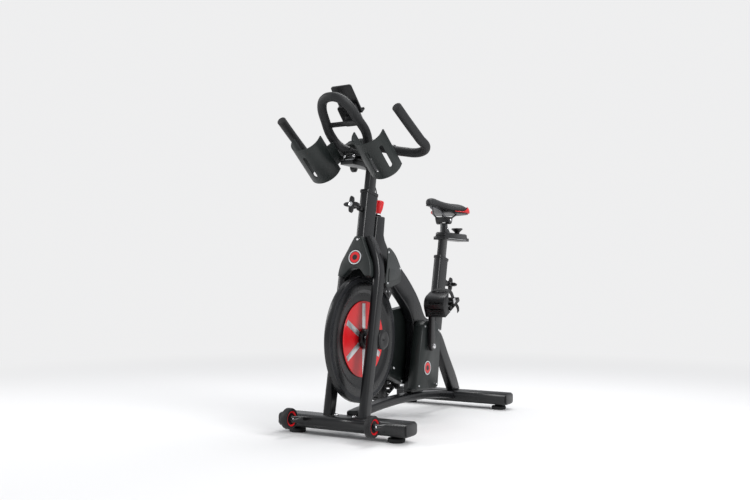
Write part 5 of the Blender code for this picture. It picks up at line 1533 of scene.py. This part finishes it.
shader = tree.nodes["Principled BSDF"]
shader.inputs["Base Color"].default_value = (0.80, 0.80, 0.80, 1.0)
shader.inputs["Roughness"].default_value = 0.6
shader.inputs["Specular IOR Level"].default_value = 0.2
tree.links.new(fade.outputs["Result"], mix.inputs[0])
tree.links.new(shader.outputs[0], mix.inputs[1])
tree.links.new(glow.outputs[0], mix.inputs[2])
tree.links.new(mix.outputs[0], tree.nodes["Material Output"].inputs["Surface"])
floor.data.materials.append(material)
print("the floor fades from", fade.inputs["From Min"].default_value, "m")

# %% [markdown]
# The world has two tones: the camera sees the pale one, and the pieces are lit by a softer
# one, so that black paint keeps its depth against a bright background.

# %% Background
world = bpy.data.worlds.new("studio")
bpy.context.scene.world = world
world.use_nodes = True
nodes, links = world.node_tree.nodes, world.node_tree.links
seen = nodes["Background"]
seen.inputs["Color"].default_value = PALE
lit = nodes.new("ShaderNodeBackground")
lit.inputs["Color"].default_value = (0.86, 0.87, 0.90, 1.0)
lit.inputs["Strength"].default_value = 0.62
path = nodes.new("ShaderNodeLightPath")
either = nodes.new("ShaderNodeMixShader")
links.new(path.outputs["Is Camera Ray"], either.inputs[0])
links.new(lit.outputs[0], either.inputs[1])
links.new(seen.outputs[0], either.inputs[2])
links.new(either.outputs[0], nodes["World Output"].inputs["Surface"])
print("background tone", PALE[:3])

# %% [markdown]
# Three softboxes stand round the bike: a key on its left, a second on its right, and one
# above. They are large, so their edges are soft, and the tall ones draw long highlights
# down the tubes.

# %% Softboxes
def softbox(name, place, size, power):
    data = bpy.data.lights.new(name, "AREA")
    data.energy = power
    data.shape = "RECTANGLE"
    data.size, data.size_y = size
    lamp = bpy.data.objects.new(name, data)
    bpy.context.scene.collection.objects.link(lamp)
    lamp.location = place
    aim = Vector((0.0, 0.0, 0.6)) - Vector(place)
    lamp.rotation_euler = aim.to_track_quat("-Z", "Y").to_euler()


softbox("key_light", (3.0, -1.0, 2.4), (1.2, 2.2), 85.0)
softbox("side_light", (-3.0, -1.8, 2.2), (1.0, 2.4), 60.0)
softbox("top_light", (0.2, 0.8, 3.2), (1.8, 1.8), 55.0)
print("three softboxes")

# %% [markdown]
# The camera stands low in front of the bike, on its left side, and looks slightly upwards.

# %% Camera
camera = bpy.data.objects.new("camera", bpy.data.cameras.new("camera"))
bpy.context.scene.collection.objects.link(camera)
camera.data.lens = 40.46
camera.data.sensor_width = 36.0
camera.location = (1.6114, -2.9386, 0.5379)
camera.rotation_euler = (math.radians(90 + 2.244), 0.0, math.radians(30.695))
bpy.context.scene.camera = camera
bpy.context.scene.view_settings.view_transform = "Standard"
print("camera", tuple(round(v, 3) for v in camera.location))

# %% Measure the sizes and finish
bpy.data.objects.remove(screw)
print("CAD nodes still shown:", [n for n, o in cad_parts.items() if not o.hide_render])
low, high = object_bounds()
